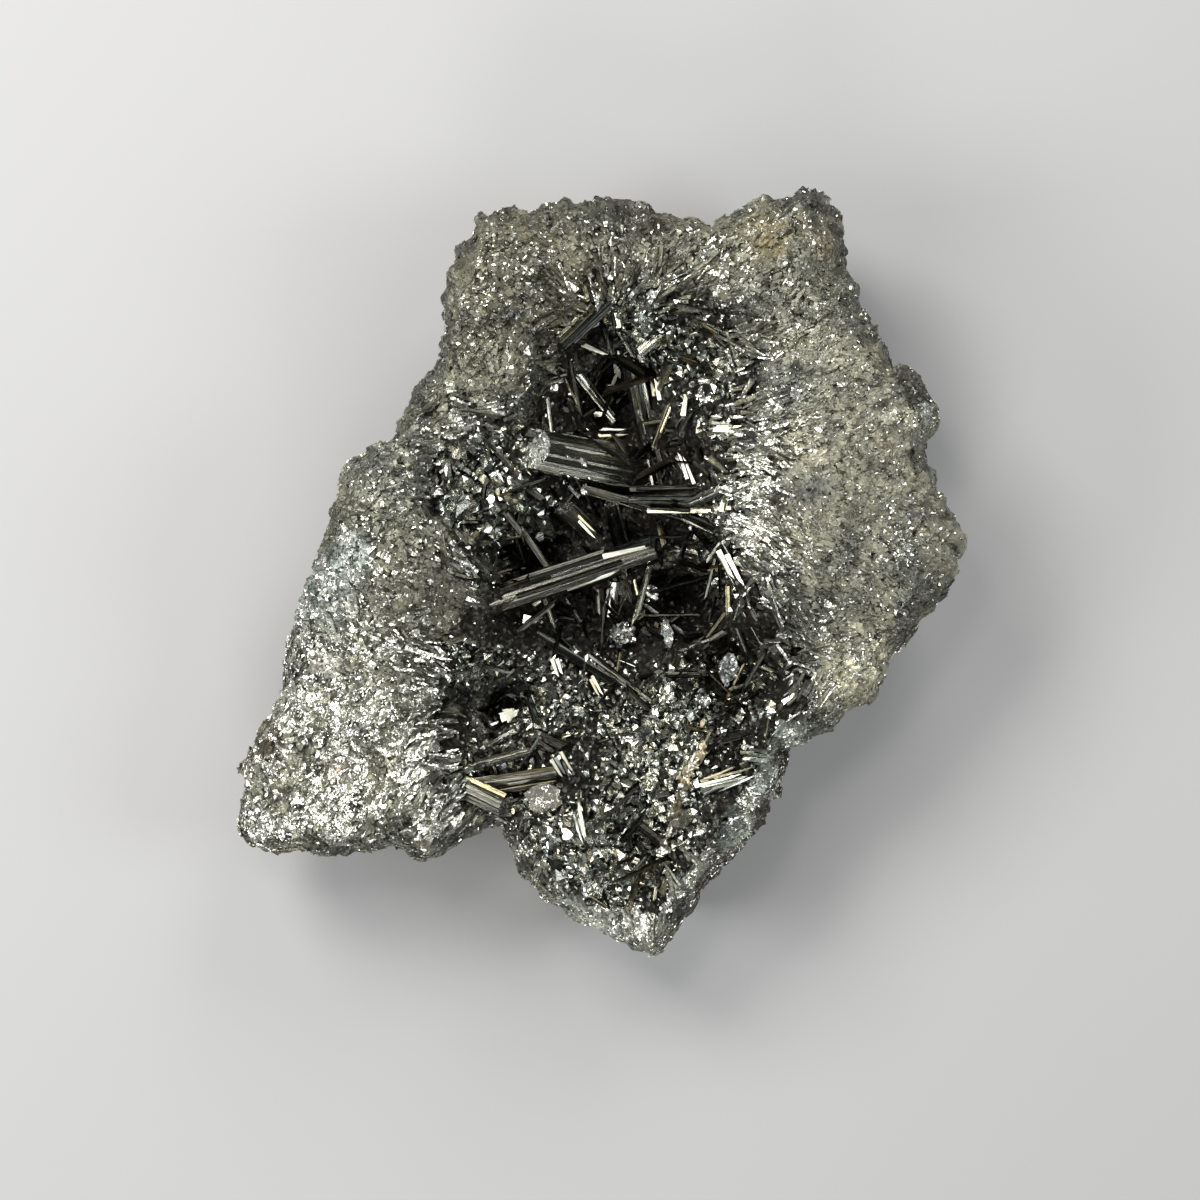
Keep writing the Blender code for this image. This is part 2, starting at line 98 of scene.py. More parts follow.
def joinedMesh(name, template, middles, axes, lengths, widths, thicks, values):
    # a copy of the template at each middle; axes holds its length, width and thickness directions
    corners, faces = template
    copies, count = len(middles), len(corners)
    shaped = np.repeat(middles[:, None, :], count, axis=1)
    for column, (axis, size) in enumerate(zip(axes, (lengths, widths, thicks))):
        shaped += corners[None, :, column, None] * (axis * size[:, None])[:, None, :]
    shaped[:, :, 2] = np.maximum(shaped[:, :, 2], floorGap * mm)
    mesh = bpy.data.meshes.new(name)
    sizes = np.tile([len(face) for face in faces], copies)
    loops = np.concatenate([np.array(face) for face in faces])
    mesh.vertices.add(copies * count)
    mesh.vertices.foreach_set("co", shaped.astype(np.float32).ravel())
    mesh.loops.add(len(loops) * copies)
    allLoops = (loops[None, :] + (np.arange(copies) * count)[:, None]).ravel()
    mesh.loops.foreach_set("vertex_index", allLoops.astype(np.int32))
    mesh.polygons.add(len(sizes))
    mesh.polygons.foreach_set("loop_start", np.concatenate([[0], np.cumsum(sizes)[:-1]]).astype(np.int32))
    mesh.update(calc_edges=True)
    mesh.shade_flat()
    setValues(mesh, "axis", np.repeat(axes[0], count, axis=0))
    for key, value in values.items():
        setValues(mesh, key, np.repeat(value, count))
    return mesh


def unit(vectors):
    return vectors / np.maximum(np.linalg.norm(vectors, axis=-1, keepdims=True), tiny)


def turned(vectors, axes, angles):
    # each vector turned about its own axis
    cosine, sine = np.cos(angles)[:, None], np.sin(angles)[:, None]
    along = (vectors * axes).sum(1, keepdims=True)
    return vectors * cosine + np.cross(axes, vectors) * sine + axes * along * (1 - cosine)


lathEnd = {"width": 0.55, "thickness": 0.7, "longSide": 0.12, "shortSide": -0.1}


def lathTemplate():
    # a lath with one end narrower and cut aslant
    bm = bmesh.new()
    bmesh.ops.create_cube(bm, size=1.0)
    for vert in bm.verts:
        if vert.co.x > 0:
            vert.co.y *= lathEnd["width"]
            vert.co.z *= lathEnd["thickness"]
            vert.co.x += lathEnd["longSide"] if vert.co.y > 0 else lathEnd["shortSide"]
    return templateFrom(bm)


def chunkTemplate(seed, count):
    # an irregular block with flat faces, about one unit long
    dice = np.random.default_rng(seed)
    bm = bmesh.new()
    for place in dice.normal(0, 1, (count, 3)):
        bm.verts.new(Vector(place).normalized() * 0.5)
    made = bmesh.ops.convex_hull(bm, input=bm.verts)
    inside = [vert for vert in made["geom_unused"] + made["geom_interior"] if vert.is_valid]
    bmesh.ops.delete(bm, geom=inside, context="VERTS")
    return templateFrom(bm)


def rhombShare(angle, roundness):
    # how far a rounded rhomb reaches at this angle, as a share of its half width
    return (abs(math.cos(angle)) ** roundness + abs(math.sin(angle)) ** roundness) ** (-1 / roundness)


def rodTemplate(sides, tipShare, slant, roundness=1.4):
    # a rhombic prism along x with a slightly narrower, slanted end
    bm = bmesh.new()
    bmesh.ops.create_cone(bm, cap_ends=True, segments=sides, radius1=0.5, radius2=0.5 * tipShare, depth=1.0,
                          matrix=Matrix.Translation((0, 0, 0.5)))
    for vert in bm.verts:
        share = rhombShare(math.atan2(vert.co.y, vert.co.x), roundness)
        x, y = vert.co.x * share, vert.co.y * share
        vert.co = (vert.co.z + (x * slant if vert.co.z > 0.5 else 0), x, y)
    return templateFrom(bm)


def newGroup(name, inputs, outputs):
    group = bpy.data.node_groups.new(name, "ShaderNodeTree")
    for label, kind, value in inputs:
        socket = group.interface.new_socket(name=label, in_out="INPUT", socket_type=kind)
        socket.default_value = value
    for label, kind in outputs:
        group.interface.new_socket(name=label, in_out="OUTPUT", socket_type=kind)
    return group, group.nodes.new("NodeGroupInput").outputs, group.nodes.new("NodeGroupOutput").inputs


def node(tree, kind, inputs, **settings):
    # a new node; inputs maps a socket's name or number to a value or to another node's output
    made = tree.nodes.new(kind)
    for key, value in settings.items():
        setattr(made, key, value)
    for key, value in inputs.items():
        if hasattr(value, "links"):
            tree.links.new(value, made.inputs[key])
        else:
            made.inputs[key].default_value = value
    return made


def maths(tree, operation, *values):
    return node(tree, "ShaderNodeMath", dict(enumerate(values)), operation=operation).outputs[0]


def vectorMaths(tree, operation, *values):
    made = node(tree, "ShaderNodeVectorMath", dict(enumerate(values)), operation=operation)
    return made.outputs["Value" if operation in ("DOT_PRODUCT", "LENGTH") else "Vector"]


def scaled(tree, vector, share):
    return node(tree, "ShaderNodeVectorMath", {0: vector, "Scale": share}, operation="SCALE").outputs[0]


def between(tree, value, lowest, highest, start=0.0, end=1.0):
    return node(tree, "ShaderNodeMapRange", {"Value": value, "From Min": start, "From Max": end,
                                             "To Min": lowest, "To Max": highest}).outputs[0]


def blend(tree, share, first, second):
    return node(tree, "ShaderNodeMix", {0: share, 6: first, 7: second}, data_type="RGBA").outputs[2]


def attribute(tree, name, output="Fac"):
    return node(tree, "ShaderNodeAttribute", {}, attribute_name=name).outputs[output]


def objectPlace(tree):
    return tree.nodes.new("ShaderNodeTexCoord").outputs["Object"]


def grouped(tree, group, inputs):
    return node(tree, "ShaderNodeGroup", inputs, node_tree=group).outputs


def cloudFac(tree, place, scale, detail, roughness=0.5):
    inputs = {"Vector": place, "Scale": scale, "Detail": detail, "Roughness": roughness}
    return node(tree, "ShaderNodeTexNoise", inputs).outputs["Fac"]


def addBump(tree, shader, height, strength=1.0, distance=1.0):
    bump = node(tree, "ShaderNodeBump", {"Height": height, "Strength": strength, "Distance": distance})
    tree.links.new(bump.outputs[0], shader["Normal"])


middleGrey = (0.5, 0.5, 0.5)  # subtracting it puts noise on both sides of zero
edgeNoise = {"Scale": 300.0, "Detail": 4.0, "Roughness": 0.65}
heightLess = (1.0, 1.0, 0.5)  # each patch reaches twice as far in height


def stainAndLightPatchGroup():
    # 1 inside a rough-edged area round a point of the piece, 0 outside it
    group, given, out = newGroup(
        "stainAndLightPatch",
        [("Middle", "NodeSocketVector", (0, 0, 0)), ("Radius", "NodeSocketFloat", 0.01),
         ("Softness", "NodeSocketFloat", 0.5), ("Wander", "NodeSocketFloat", 0.003)],
        [("Mask", "NodeSocketFloat")],
    )
    place = objectPlace(group)
    cloud = node(group, "ShaderNodeTexNoise", {"Vector": place, **edgeNoise})
    away = vectorMaths(group, "SUBTRACT", cloud.outputs["Color"], middleGrey)
    shift = scaled(group, away, given["Wander"])
    gap = vectorMaths(group, "SUBTRACT", vectorMaths(group, "ADD", place, shift), given["Middle"])
    away = vectorMaths(group, "LENGTH", vectorMaths(group, "MULTIPLY", gap, heightLess))
    share = maths(group, "DIVIDE", away, given["Radius"])
    solid = maths(group, "SUBTRACT", 1.0, given["Softness"])
    mask = node(group, "ShaderNodeMapRange",
                {"Value": share, "From Min": solid, "From Max": 1.0, "To Min": 1.0, "To Max": 0.0},
                interpolation_type="SMOOTHSTEP")
    group.links.new(mask.outputs[0], out["Mask"])
    return group


def brokenGrainGroup():
    # each cell of the surface is a small plane that leans its own way
    group, given, out = newGroup(
        "brokenGrain",
        [("Grains per metre", "NodeSocketFloat", 3000.0), ("Lean", "NodeSocketFloat", 1.0)],
        [("Height", "NodeSocketFloat"), ("Shade", "NodeSocketFloat")],
    )
    place = objectPlace(group)
    cells = node(group, "ShaderNodeTexVoronoi", {"Vector": place, "Scale": given["Grains per metre"]})
    lean = vectorMaths(group, "SUBTRACT", cells.outputs["Color"], middleGrey)
    away = vectorMaths(group, "SUBTRACT", place, cells.outputs["Position"])
    height = maths(group, "MULTIPLY", vectorMaths(group, "DOT_PRODUCT", lean, away), given["Lean"])
    group.links.new(height, out["Height"])
    colour = node(group, "ShaderNodeSeparateColor", {0: cells.outputs["Color"]})
    group.links.new(colour.outputs[0], out["Shade"])
    return group


def striationGroup():
    # fine ridges along each crystal's own length
    group, given, out = newGroup(
        "striation",
        [("Axis", "NodeSocketVector", (0, 0, 1)), ("Lines per metre", "NodeSocketFloat", 6000.0),
         ("Along", "NodeSocketFloat", 0.03)],
        [("Height", "NodeSocketFloat")],
    )
    place = objectPlace(group)
    share = maths(group, "MULTIPLY", vectorMaths(group, "DOT_PRODUCT", place, given["Axis"]),
                  maths(group, "SUBTRACT", 1.0, given["Along"]))
    across = vectorMaths(group, "SUBTRACT", place, scaled(group, given["Axis"], share))
    lines = cloudFac(group, across, given["Lines per metre"], detail=3.0, roughness=0.7)
    group.links.new(lines, out["Height"])
    return group


stainAndLightPatch = stainAndLightPatchGroup()
brokenGrain = brokenGrainGroup()
striation = striationGroup()

# Patches of colour on the stone: stains and paler areas of its own, and painted light and shade, paler where
# lobes face the lights and darker where sides face away; middle and radius in mm, softness, colour, how
# strongly they cover
stainsAndPaintedLight = [
    ((26.0, 14.0, 24), 19.0, 0.6, (0.18, 0.175, 0.139), 1.0),
    ((27.0, 2.0, 24), 9.0, 0.8, (0.16, 0.158, 0.13), 0.7),
    ((30.8, 13.2, 24), 2.6, 0.7, (0.3, 0.28, 0.22), 0.8),
    ((34.4, 20.0, 22), 3.4, 0.35, (0.046, 0.044, 0.034), 1.0),
    ((35.0, 16.8, 22), 1.8, 0.5, (0.34, 0.39, 0.4), 1.0),
    ((35.2, 11.0, 18), 2.8, 0.5, (0.1, 0.108, 0.105), 0.8),
    ((20.0, 20.0, 24), 5.0, 0.9, (0.13, 0.138, 0.138), 0.7),
    ((23.5, 9.0, 24), 3.5, 0.9, (0.13, 0.138, 0.138), 0.7),
    ((38.2, 3.2, 21), 5.6, 0.35, (0.18, 0.176, 0.14), 1.0),
    ((18.3, 36.4, 23), 4.2, 0.7, (0.165, 0.14, 0.08), 0.9),
    ((24.0, 37.0, 23), 4.0, 0.7, (0.15, 0.134, 0.098), 0.9),
    ((22.5, 41.6, 20), 3.4, 0.5, (0.05, 0.049, 0.042), 1.0),
    ((4.6, 39.8, 19), 4.6, 0.4, (0.034, 0.03, 0.023), 1.0),
    ((-18.5, -3.3, 24), 8.5, 0.6, (0.075, 0.071, 0.053), 0.95),
    ((19.6, -17.5, 20), 3.4, 0.6, (0.4, 0.45, 0.45), 0.9),
    ((18.0, -22.5, 20), 3.2, 0.6, (0.36, 0.41, 0.41), 0.9),
    ((14.5, -28.5, 20), 3.6, 0.6, (0.33, 0.37, 0.36), 0.9),
    ((10.0, -33.5, 19), 3.4, 0.6, (0.42, 0.44, 0.41), 0.9),
    ((-27.5, 1.5, 24), 3.8, 0.8, (0.28, 0.32, 0.33), 0.85),
    ((-8.0, 31.0, 24), 15.0, 0.7, (0.074, 0.07, 0.05), 0.9),
    ((10.0, 36.0, 24), 9.0, 0.8, (0.095, 0.092, 0.07), 0.7),
    ((-31.5, -3.0, 23), 6.5, 0.9, (0.3, 0.33, 0.33), 0.8),
    ((-24.0, 10.0, 22), 7.0, 0.9, (0.19, 0.192, 0.167), 0.7),
    ((15.0, 7.5, 22), 3.2, 0.8, (0.4, 0.45, 0.46), 0.8),
    ((-30.4, -10.7, 22), 2.3, 0.6, (0.5, 0.49, 0.46), 0.9),
    ((-29.5, -22.3, 20), 2.4, 0.7, (0.26, 0.2, 0.14), 0.7),
    ((-37.4, -19.0, 16), 3.6, 0.6, (0.085, 0.068, 0.05), 0.85),
    ((1.0, -36.5, 18), 8.0, 0.6, (0.31, 0.33, 0.32), 0.85),
    ((28.5, -11.5, 23), 8.0, 0.8, (0.42, 0.41, 0.33), 0.85),
    ((10.2, -21.4, 19), 3.6, 0.4, (0.5, 0.43, 0.31), 1.0),
    ((8.2, -27.0, 18), 3.6, 0.4, (0.21, 0.165, 0.12), 1.0),
    # painted shade: dark brown on the right-hand sides, which face away from the lights
    ((31.5, 25.5, 11), 6.5, 0.2, (0.06, 0.051, 0.037), 1.0),
    ((21.0, -20.5, 1), 9.0, 0.2, (0.036, 0.026, 0.016), 1.0),
    ((17.0, -28.5, 1), 9.0, 0.2, (0.036, 0.026, 0.016), 1.0),
    ((11.5, -34.5, 1), 8.5, 0.2, (0.036, 0.026, 0.016), 1.0),
]


def stainedAndPaintedLight(tree, colour):
    # each patch blended in: real stains and paler areas, and painted light and shade
    for middle, radius, softness, tint, cover in stainsAndPaintedLight:
        patch = {"Middle": [value * mm for value in middle], "Radius": radius * mm, "Softness": softness}
        mask = grouped(tree, stainAndLightPatch, patch)["Mask"]
        colour = blend(tree, maths(tree, "MULTIPLY", mask, cover), colour, (*tint, 1.0))
    return colour


def brokenFacets(tree, grains, lean):
    return grouped(tree, brokenGrain, {"Grains per metre": grains, "Lean": lean})


def newMaterial(name):
    made = bpy.data.materials.new(name)
    made.use_nodes = True
    return made, made.node_tree, made.node_tree.nodes["Principled BSDF"].inputs


# What both kinds of stone share. A pair is the two ends of a range.
stoneLook = {
    "cloudEdges": (0.35, 0.65),  # the noise goes from dark stone to light stone between these
    "cloudShades": (0.68, 1.25),
    "broadScale": 190.0,
    "broadEdges": (0.36, 0.64),
    "broadTints": ((0.5, 0.52, 0.52, 1), (1.28, 1.25, 1.12, 1)),
    "calmShade": 0.82,  # of a grain in the dullest places
    "calmAt": (0.0, 1.3),
    "stoneInSilver": 0.3,
    "gleams": (0.62, 1.22),
    "calmGleam": 0.6,
    "calmMetal": 0.08,
    "glintEdge": 0.05,
}


def matrixMaterial(name, look):
    # grains are either dull olive stone or bright silvery faces, by the value "bright"
    made, tree, shader = newMaterial(name)
    place = objectPlace(tree)
    calm = attribute(tree, "calm")
    facets = brokenFacets(tree, look["grains"], between(tree, calm, look["lean"], look["calmLean"]))
    cloud = cloudFac(tree, place, look["cloud"], detail=4.0)
    lighter = between(tree, cloud, 0, 1, *stoneLook["cloudEdges"])
    # the stone's colour with stains and painted light and shade laid over it
    base = stainedAndPaintedLight(tree, blend(tree, lighter, (*look["dark"], 1), (*look["light"], 1)))
    broad = cloudFac(tree, place, stoneLook["broadScale"], detail=4.0, roughness=0.6)
    tint = blend(tree, between(tree, broad, 0, 1, *stoneLook["broadEdges"]), *stoneLook["broadTints"])
    tinted = vectorMaths(tree, "MULTIPLY", base, tint)
    base = scaled(tree, tinted, between(tree, cloud, *stoneLook["cloudShades"], *stoneLook["cloudEdges"]))
    shade = attribute(tree, "tone") if look["grown"] else facets["Shade"]
    grainShade = between(tree, shade, *look["shades"])
    dull = scaled(tree, base, between(tree, calm, grainShade, stoneLook["calmShade"], *stoneLook["calmAt"]))
    # painted shade: the stone darkens towards the hollow's edge
    dull = scaled(tree, dull, between(tree, attribute(tree, "rim"), 1.0, look["rimShade"]))
    if look["grown"]:
        bright = attribute(tree, "bright")
    else:
        bright = between(tree, facets["Shade"], 0, 1, look["glint"], look["glint"] + stoneLook["glintEdge"])
    silver = blend(tree, stoneLook["stoneInSilver"], (*look["silver"], 1), base)
    gleam = maths(tree, "MULTIPLY", between(tree, shade, *stoneLook["gleams"]),
                  between(tree, calm, 1.0, stoneLook["calmGleam"]))
    tree.links.new(blend(tree, bright, dull, scaled(tree, silver, gleam)), shader["Base Color"])
    dullMetal = between(tree, calm, look["metal"], stoneLook["calmMetal"])
    tree.links.new(between(tree, bright, dullMetal, 1.0), shader["Metallic"])
    tree.links.new(between(tree, bright, *look["rough"]), shader["Roughness"])
    addBump(tree, shader, facets["Height"])
    return made


skinFinish = matrixMaterial("massiveManganite", {
    "grown": False, "grains": 3400.0, "lean": 1.6, "calmLean": 0.3, "cloud": 420.0,
    "dark": (0.045, 0.0455, 0.036), "light": (0.1, 0.1, 0.08), "silver": (0.5, 0.5, 0.44),
    "metal": 0.3, "shades": (0.7, 1.3), "glint": 0.85, "rough": (0.42, 0.25), "rimShade": 0.45,
})
grainFinish = matrixMaterial("manganiteGrains", {
    "grown": True, "grains": 5200.0, "lean": 0.6, "calmLean": 0.3, "cloud": 500.0,
    "dark": (0.07, 0.0705, 0.056), "light": (0.15, 0.15, 0.122), "silver": (0.66, 0.66, 0.6),
    "metal": 0.45, "shades": (0.55, 1.5), "rough": (0.38, 0.3), "rimShade": 0.5,
})

# What all the crystals' finishes share
crystalLook = {
    "cloud": 300.0,
    "hues": 9.7,  # a crystal's hue is the fraction of its tone times this
    "bronzeTo": (0.0, 0.3),  # bronze fades out over these hues
    "bluishFrom": (0.7, 1.0),
    "plain": (1, 1, 0.95, 1),
    "bluish": (0.9, 0.99, 1.02, 1),
    "lineEdges": (0.3, 0.7),
    "lineDepth": 0.0001,
}


def crystalMaterial(name, look):
    made, tree, shader = newMaterial(name)
    cloud = cloudFac(tree, objectPlace(tree), crystalLook["cloud"], detail=3.0)
    base = blend(tree, cloud, (*look["dark"], 1), (*look["light"], 1))
    tone = attribute(tree, "tone")
    hue = maths(tree, "FRACT", maths(tree, "MULTIPLY", tone, crystalLook["hues"]))
    plainer = between(tree, hue, 0, 1, *crystalLook["bronzeTo"])
    tint = blend(tree, plainer, (*look["bronze"], 1), crystalLook["plain"])
    tint = blend(tree, between(tree, hue, 0, 1, *crystalLook["bluishFrom"]), tint, crystalLook["bluish"])
    base = vectorMaths(tree, "MULTIPLY", base, tint)
    shade = between(tree, maths(tree, "POWER", tone, look["darker"]), *look["shades"])
    tree.links.new(scaled(tree, base, shade), shader["Base Color"])
    shader["Metallic"].default_value = look["metal"]
    ridges = {"Axis": attribute(tree, "axis", "Vector"), "Lines per metre": look["lines"]}
    lines = grouped(tree, striation, ridges)["Height"]
    tree.links.new(between(tree, lines, *look["rough"], *crystalLook["lineEdges"]), shader["Roughness"])
    addBump(tree, shader, lines, look["bump"], crystalLook["lineDepth"])
    return made


prismFinish = crystalMaterial("prismManganite", {
    "dark": (0.045, 0.045, 0.042), "light": (0.12, 0.119, 0.105), "bronze": (1.3, 1.12, 0.72),
    "shades": (0.3, 6.0), "darker": 5.0, "metal": 1.0, "lines": 7500.0, "rough": (0.13, 0.34), "bump": 0.38,
})
druseFinish = crystalMaterial("druseManganite", {
    "dark": (0.22, 0.225, 0.212), "light": (0.5, 0.505, 0.472), "bronze": (1.12, 1.04, 0.84),
    "shades": (0.12, 1.8), "darker": 1.2, "metal": 0.95, "lines": 5000.0, "rough": (0.14, 0.3), "bump": 0.3,
})
litFinish = crystalMaterial("litManganite", {
    "dark": (0.55, 0.55, 0.5), "light": (0.8, 0.8, 0.73), "bronze": (1.0, 0.9, 0.64),
    "shades": (0.45, 1.05), "darker": 1.0, "metal": 1.0, "lines": 6000.0, "rough": (0.24, 0.42), "bump": 0.3,
})

endLook = {
    "grains": 4200.0, "lean": 0.45, "contrast": 1.6, "toneShades": (0.3, 1.5), "rough": (0.4, 0.2),
    "dark": (0.045, 0.047, 0.044, 1), "light": (0.66, 0.67, 0.63, 1),
}


def brokenEndMaterial():
    made, tree, shader = newMaterial("brokenPrismEnds")
    facets = brokenFacets(tree, endLook["grains"], endLook["lean"])
    share = maths(tree, "POWER", facets["Shade"], endLook["contrast"])
    colour = blend(tree, share, endLook["dark"], endLook["light"])
    shade = between(tree, attribute(tree, "tone"), *endLook["toneShades"])
    tree.links.new(scaled(tree, colour, shade), shader["Base Color"])
    shader["Metallic"].default_value = 1.0
    tree.links.new(between(tree, facets["Shade"], *endLook["rough"]), shader["Roughness"])
    addBump(tree, shader, facets["Height"])
    return made


liningLook = {
    "grains": 2600.0, "lean": 2.4, "cloud": 350.0, "metals": (0.5, 1.0), "rough": (0.5, 0.3), "specular": 0.2,
    # painted shade: the bare lining's near black, darker than the stone's own colour
    "shadedDepths": ((0.007, 0.0063, 0.0052, 1), (0.025, 0.0228, 0.0182, 1)),
    "crusted": ((0.008, 0.008, 0.007, 1), (0.09, 0.09, 0.08, 1)),
}


def liningMaterial():
    # near black in the depths, the lining's own dark colour made darker as painted shade of the hollow;
    # silvery grey where fine crystals cover it
    made, tree, shader = newMaterial("crustManganite")
    place = objectPlace(tree)
    facets = brokenFacets(tree, liningLook["grains"], liningLook["lean"])
    # painted shade deep in the hollow, blended with the crystals' silvery grey
    shadedDepths = blend(tree, cloudFac(tree, place, liningLook["cloud"], detail=4.0), *liningLook["shadedDepths"])
    crusted = blend(tree, facets["Shade"], *liningLook["crusted"])
    colour = blend(tree, attribute(tree, "bright"), shadedDepths, crusted)
    tree.links.new(colour, shader["Base Color"])
    tree.links.new(between(tree, attribute(tree, "bright"), *liningLook["metals"]), shader["Metallic"])
    tree.links.new(between(tree, facets["Shade"], *liningLook["rough"]), shader["Roughness"])
    shader["Specular IOR Level"].default_value = liningLook["specular"]
    addBump(tree, shader, facets["Height"])
    return made


calciteLook = {
    "cloud": 700.0, "dark": (0.44, 0.42, 0.35, 1), "light": (0.8, 0.795, 0.74, 1),
    "rough": 0.08, "bend": 1.5, "clear": 0.9, "bump": 0.4, "depth": 0.0003,
}


def calciteMaterial():
    made, tree, shader = newMaterial("paleCalcite")
    cloud = cloudFac(tree, objectPlace(tree), calciteLook["cloud"], detail=3.0)
    tree.links.new(blend(tree, cloud, calciteLook["dark"], calciteLook["light"]), shader["Base Color"])
    shader["Roughness"].default_value = calciteLook["rough"]
    shader["IOR"].default_value = calciteLook["bend"]
    shader["Transmission Weight"].default_value = calciteLook["clear"]
    addBump(tree, shader, cloud, calciteLook["bump"], calciteLook["depth"])
    return made


brokenEndFinish = brokenEndMaterial()
liningFinish = liningMaterial()
calciteFinish = calciteMaterial()

# The crystals fan out from this line along the hollow, in mm
hollowSpine = np.array([(1.0, 26.4), (2.1, 15.4), (-0.1, 1.1), (-4.5, -13.2), (-0.1, -23.1)])

# Areas of the face: middle and radius in mm, a grain's length and width in mm, lean in degrees,
# how many there are, the share of them that are bright, and how even and dull the stone is
areas = [
    ((-23.2, -16.5), 10.0, 1.00, 0.60, 15, 1.2, 0.82, 0.0),
    ((-34.2, -25.3), 6.5, 0.80, 0.62, 18, 1.1, 0.68, 0.0),
    ((-29.5, -22.3), 1.6, 0.60, 0.50, 12, 0.8, 0.12, 0.5),
    ((-30.4, -10.7), 1.8, 0.40, 0.30, 8, 0.1, 0.15, 1.0),
    ((-31.5, -6.7), 5.5, 0.58, 0.46, 15, 1.4, 0.80, 0.0),
    ((-27.5, 1.5), 2.8, 0.55, 0.45, 15, 1.4, 0.92, 0.0),
    ((-18.5, -3.0), 7.0, 0.50, 0.36, 12, 0.45, 0.05, 1.0),
    ((-24.3, 9.9), 6.0, 0.54, 0.42, 17, 1.0, 0.46, 0.3),
    ((-8.9, 31.9), 9.0, 0.46, 0.38, 16, 0.6, 0.15, 0.85),
    ((-14.0, 21.0), 6.0, 0.54, 0.44, 17, 0.8, 0.24, 0.65),
    ((-0.1, 38.0), 5.5, 0.46, 0.38, 15, 0.4, 0.10, 1.0),
    ((4.4, 39.6), 3.5, 0.40, 0.32, 8, 0.1, 0.06, 1.0),
    ((10.9, 34.1), 6.5, 0.72, 0.38, 14, 0.8, 0.22, 0.6),
    ((20.8, 36.6), 4.0, 0.40, 0.30, 10, 0.6, 0.12, 1.0),
    ((24.1, 26.4), 9.0, 0.42, 0.30, 12, 0.85, 0.12, 0.85),
    ((26.3, 13.2), 9.0, 0.36, 0.27, 9, 0.95, 0.08, 1.0),
    ((27.4, 0.0), 8.0, 0.58, 0.27, 12, 0.9, 0.17, 0.85),
    ((18.6, 15.4), 4.5, 1.20, 0.34, 14, 1.1, 0.65, 0.1),
    ((19.7, 1.1), 4.5, 1.20, 0.32, 14, 1.1, 0.55, 0.1),
    ((29.6, -12.1), 6.0, 0.66, 0.50, 22, 1.0, 0.45, 0.15),
    ((38.3, 3.0), 4.2, 0.36, 0.30, 5, 0.04, 0.03, 1.0),
    ((34.4, 20.2), 2.8, 0.60, 0.50, 12, 0.3, 0.10, 0.6),
    ((35.0, 16.8), 1.6, 0.60, 0.50, 10, 1.4, 1.00, 0.0),
    ((33.2, 3.0), 2.0, 0.75, 0.55, 22, 1.3, 0.90, 0.0),
    ((2.1, -36.5), 7.0, 0.70, 0.50, 18, 1.4, 0.90, 0.0),
    ((15.3, -28.6), 5.0, 0.52, 0.40, 18, 2.2, 0.72, 0.0),
    ((19.0, -19.5), 4.0, 0.52, 0.40, 18, 2.2, 0.72, 0.0),
]
areaColumns = ("at", "radius", "long", "wide", "lean", "many", "bright", "calm")
everywhere = {"long": 0.6, "wide": 0.42, "lean": 16, "many": 0.8, "bright": 0.3, "calm": 0.5}


def nearbyValue(places, rows, column, elsewhere, base, narrowing):
    # one column of the rows, each counting for more the nearer its area is to the place
    total = np.full(len(places), base)
    value = np.full(len(places), base * elsewhere)
    for row in rows:
        away = ((places[:, :2] - np.array(row[0]) * mm) ** 2).sum(1) / (row[1] * mm) ** 2
        weight = np.exp(-away * narrowing)
        total += weight
        value += weight * row[column]
    return value / total


def areaValue(places, key):
    return nearbyValue(places, areas, areaColumns.index(key), everywhere[key], base=0.1, narrowing=1.2)


def fanDirection(places):
    # away from the nearest point of the hollow's line
    best = np.full(len(places), np.inf)
    away = np.zeros((len(places), 2))
    for start, end in zip(hollowSpine[:-1] * mm, hollowSpine[1:] * mm):
        along = end - start
        share = np.clip(((places[:, :2] - start) @ along) / (along @ along), 0, 1)
        gap = places[:, :2] - (start + share[:, None] * along)
        distance = (gap ** 2).sum(1)
        nearer = distance < best
        best[nearer] = distance[nearer]
        away[nearer] = gap[nearer]
    return unit(np.concatenate([away, np.zeros((len(places), 1))], axis=1))


slabTree = BVHTree.FromBMesh(mergedCopy("slab"))
crustTree = BVHTree.FromBMesh(mergedCopy("crystal_crust"))
crustReach = (-24, 26), (-41, 34)  # the crust lies between these in x and y, in mm


def fromAbove(tree, x, y):
    # where a ray straight down meets the tree
    return tree.ray_cast(Vector((x, y, skyHeight * mm)), -up)[0]


def rimFinder():
    # the squares that the crust covers, and a tree of those along its edge
    inside = set()
    columns, lines = (range(int(low / squareSize), int(high / squareSize)) for low, high in crustReach)
    for x in columns:
        for y in lines:
            if fromAbove(crustTree, x * squareSize * mm, y * squareSize * mm):
                inside.add((x, y))
    edge = [(x, y) for x, y in sorted(inside)
            if not {(x + 1, y), (x - 1, y), (x, y + 1), (x, y - 1)} <= inside]
    tree = KDTree(len(edge))
    for number, (x, y) in enumerate(edge):
        tree.insert((x * squareSize * mm, y * squareSize * mm, 0), number)
    tree.balance()
    return inside, tree


crustSquares, rimTree = rimFinder()


def rimDistance(places):
    # how far each place is outside the crust's edge; negative on the crust
    away = np.array([rimTree.find((x, y, 0))[2] for x, y in places[:, :2]])
    squares = np.rint(places[:, :2] / (squareSize * mm)).astype(int)
    covered = np.array([(x, y) in crustSquares for x, y in squares])
    return np.where(covered, -away, away)


def rimShadeShare(places):
    # 1 on the crust, falling to 0 where the painted shade round the hollow's edge ends
    rimWidth = 3.5 * mm
    return np.clip(1 - rimDistance(places) / rimWidth, 0, 1)


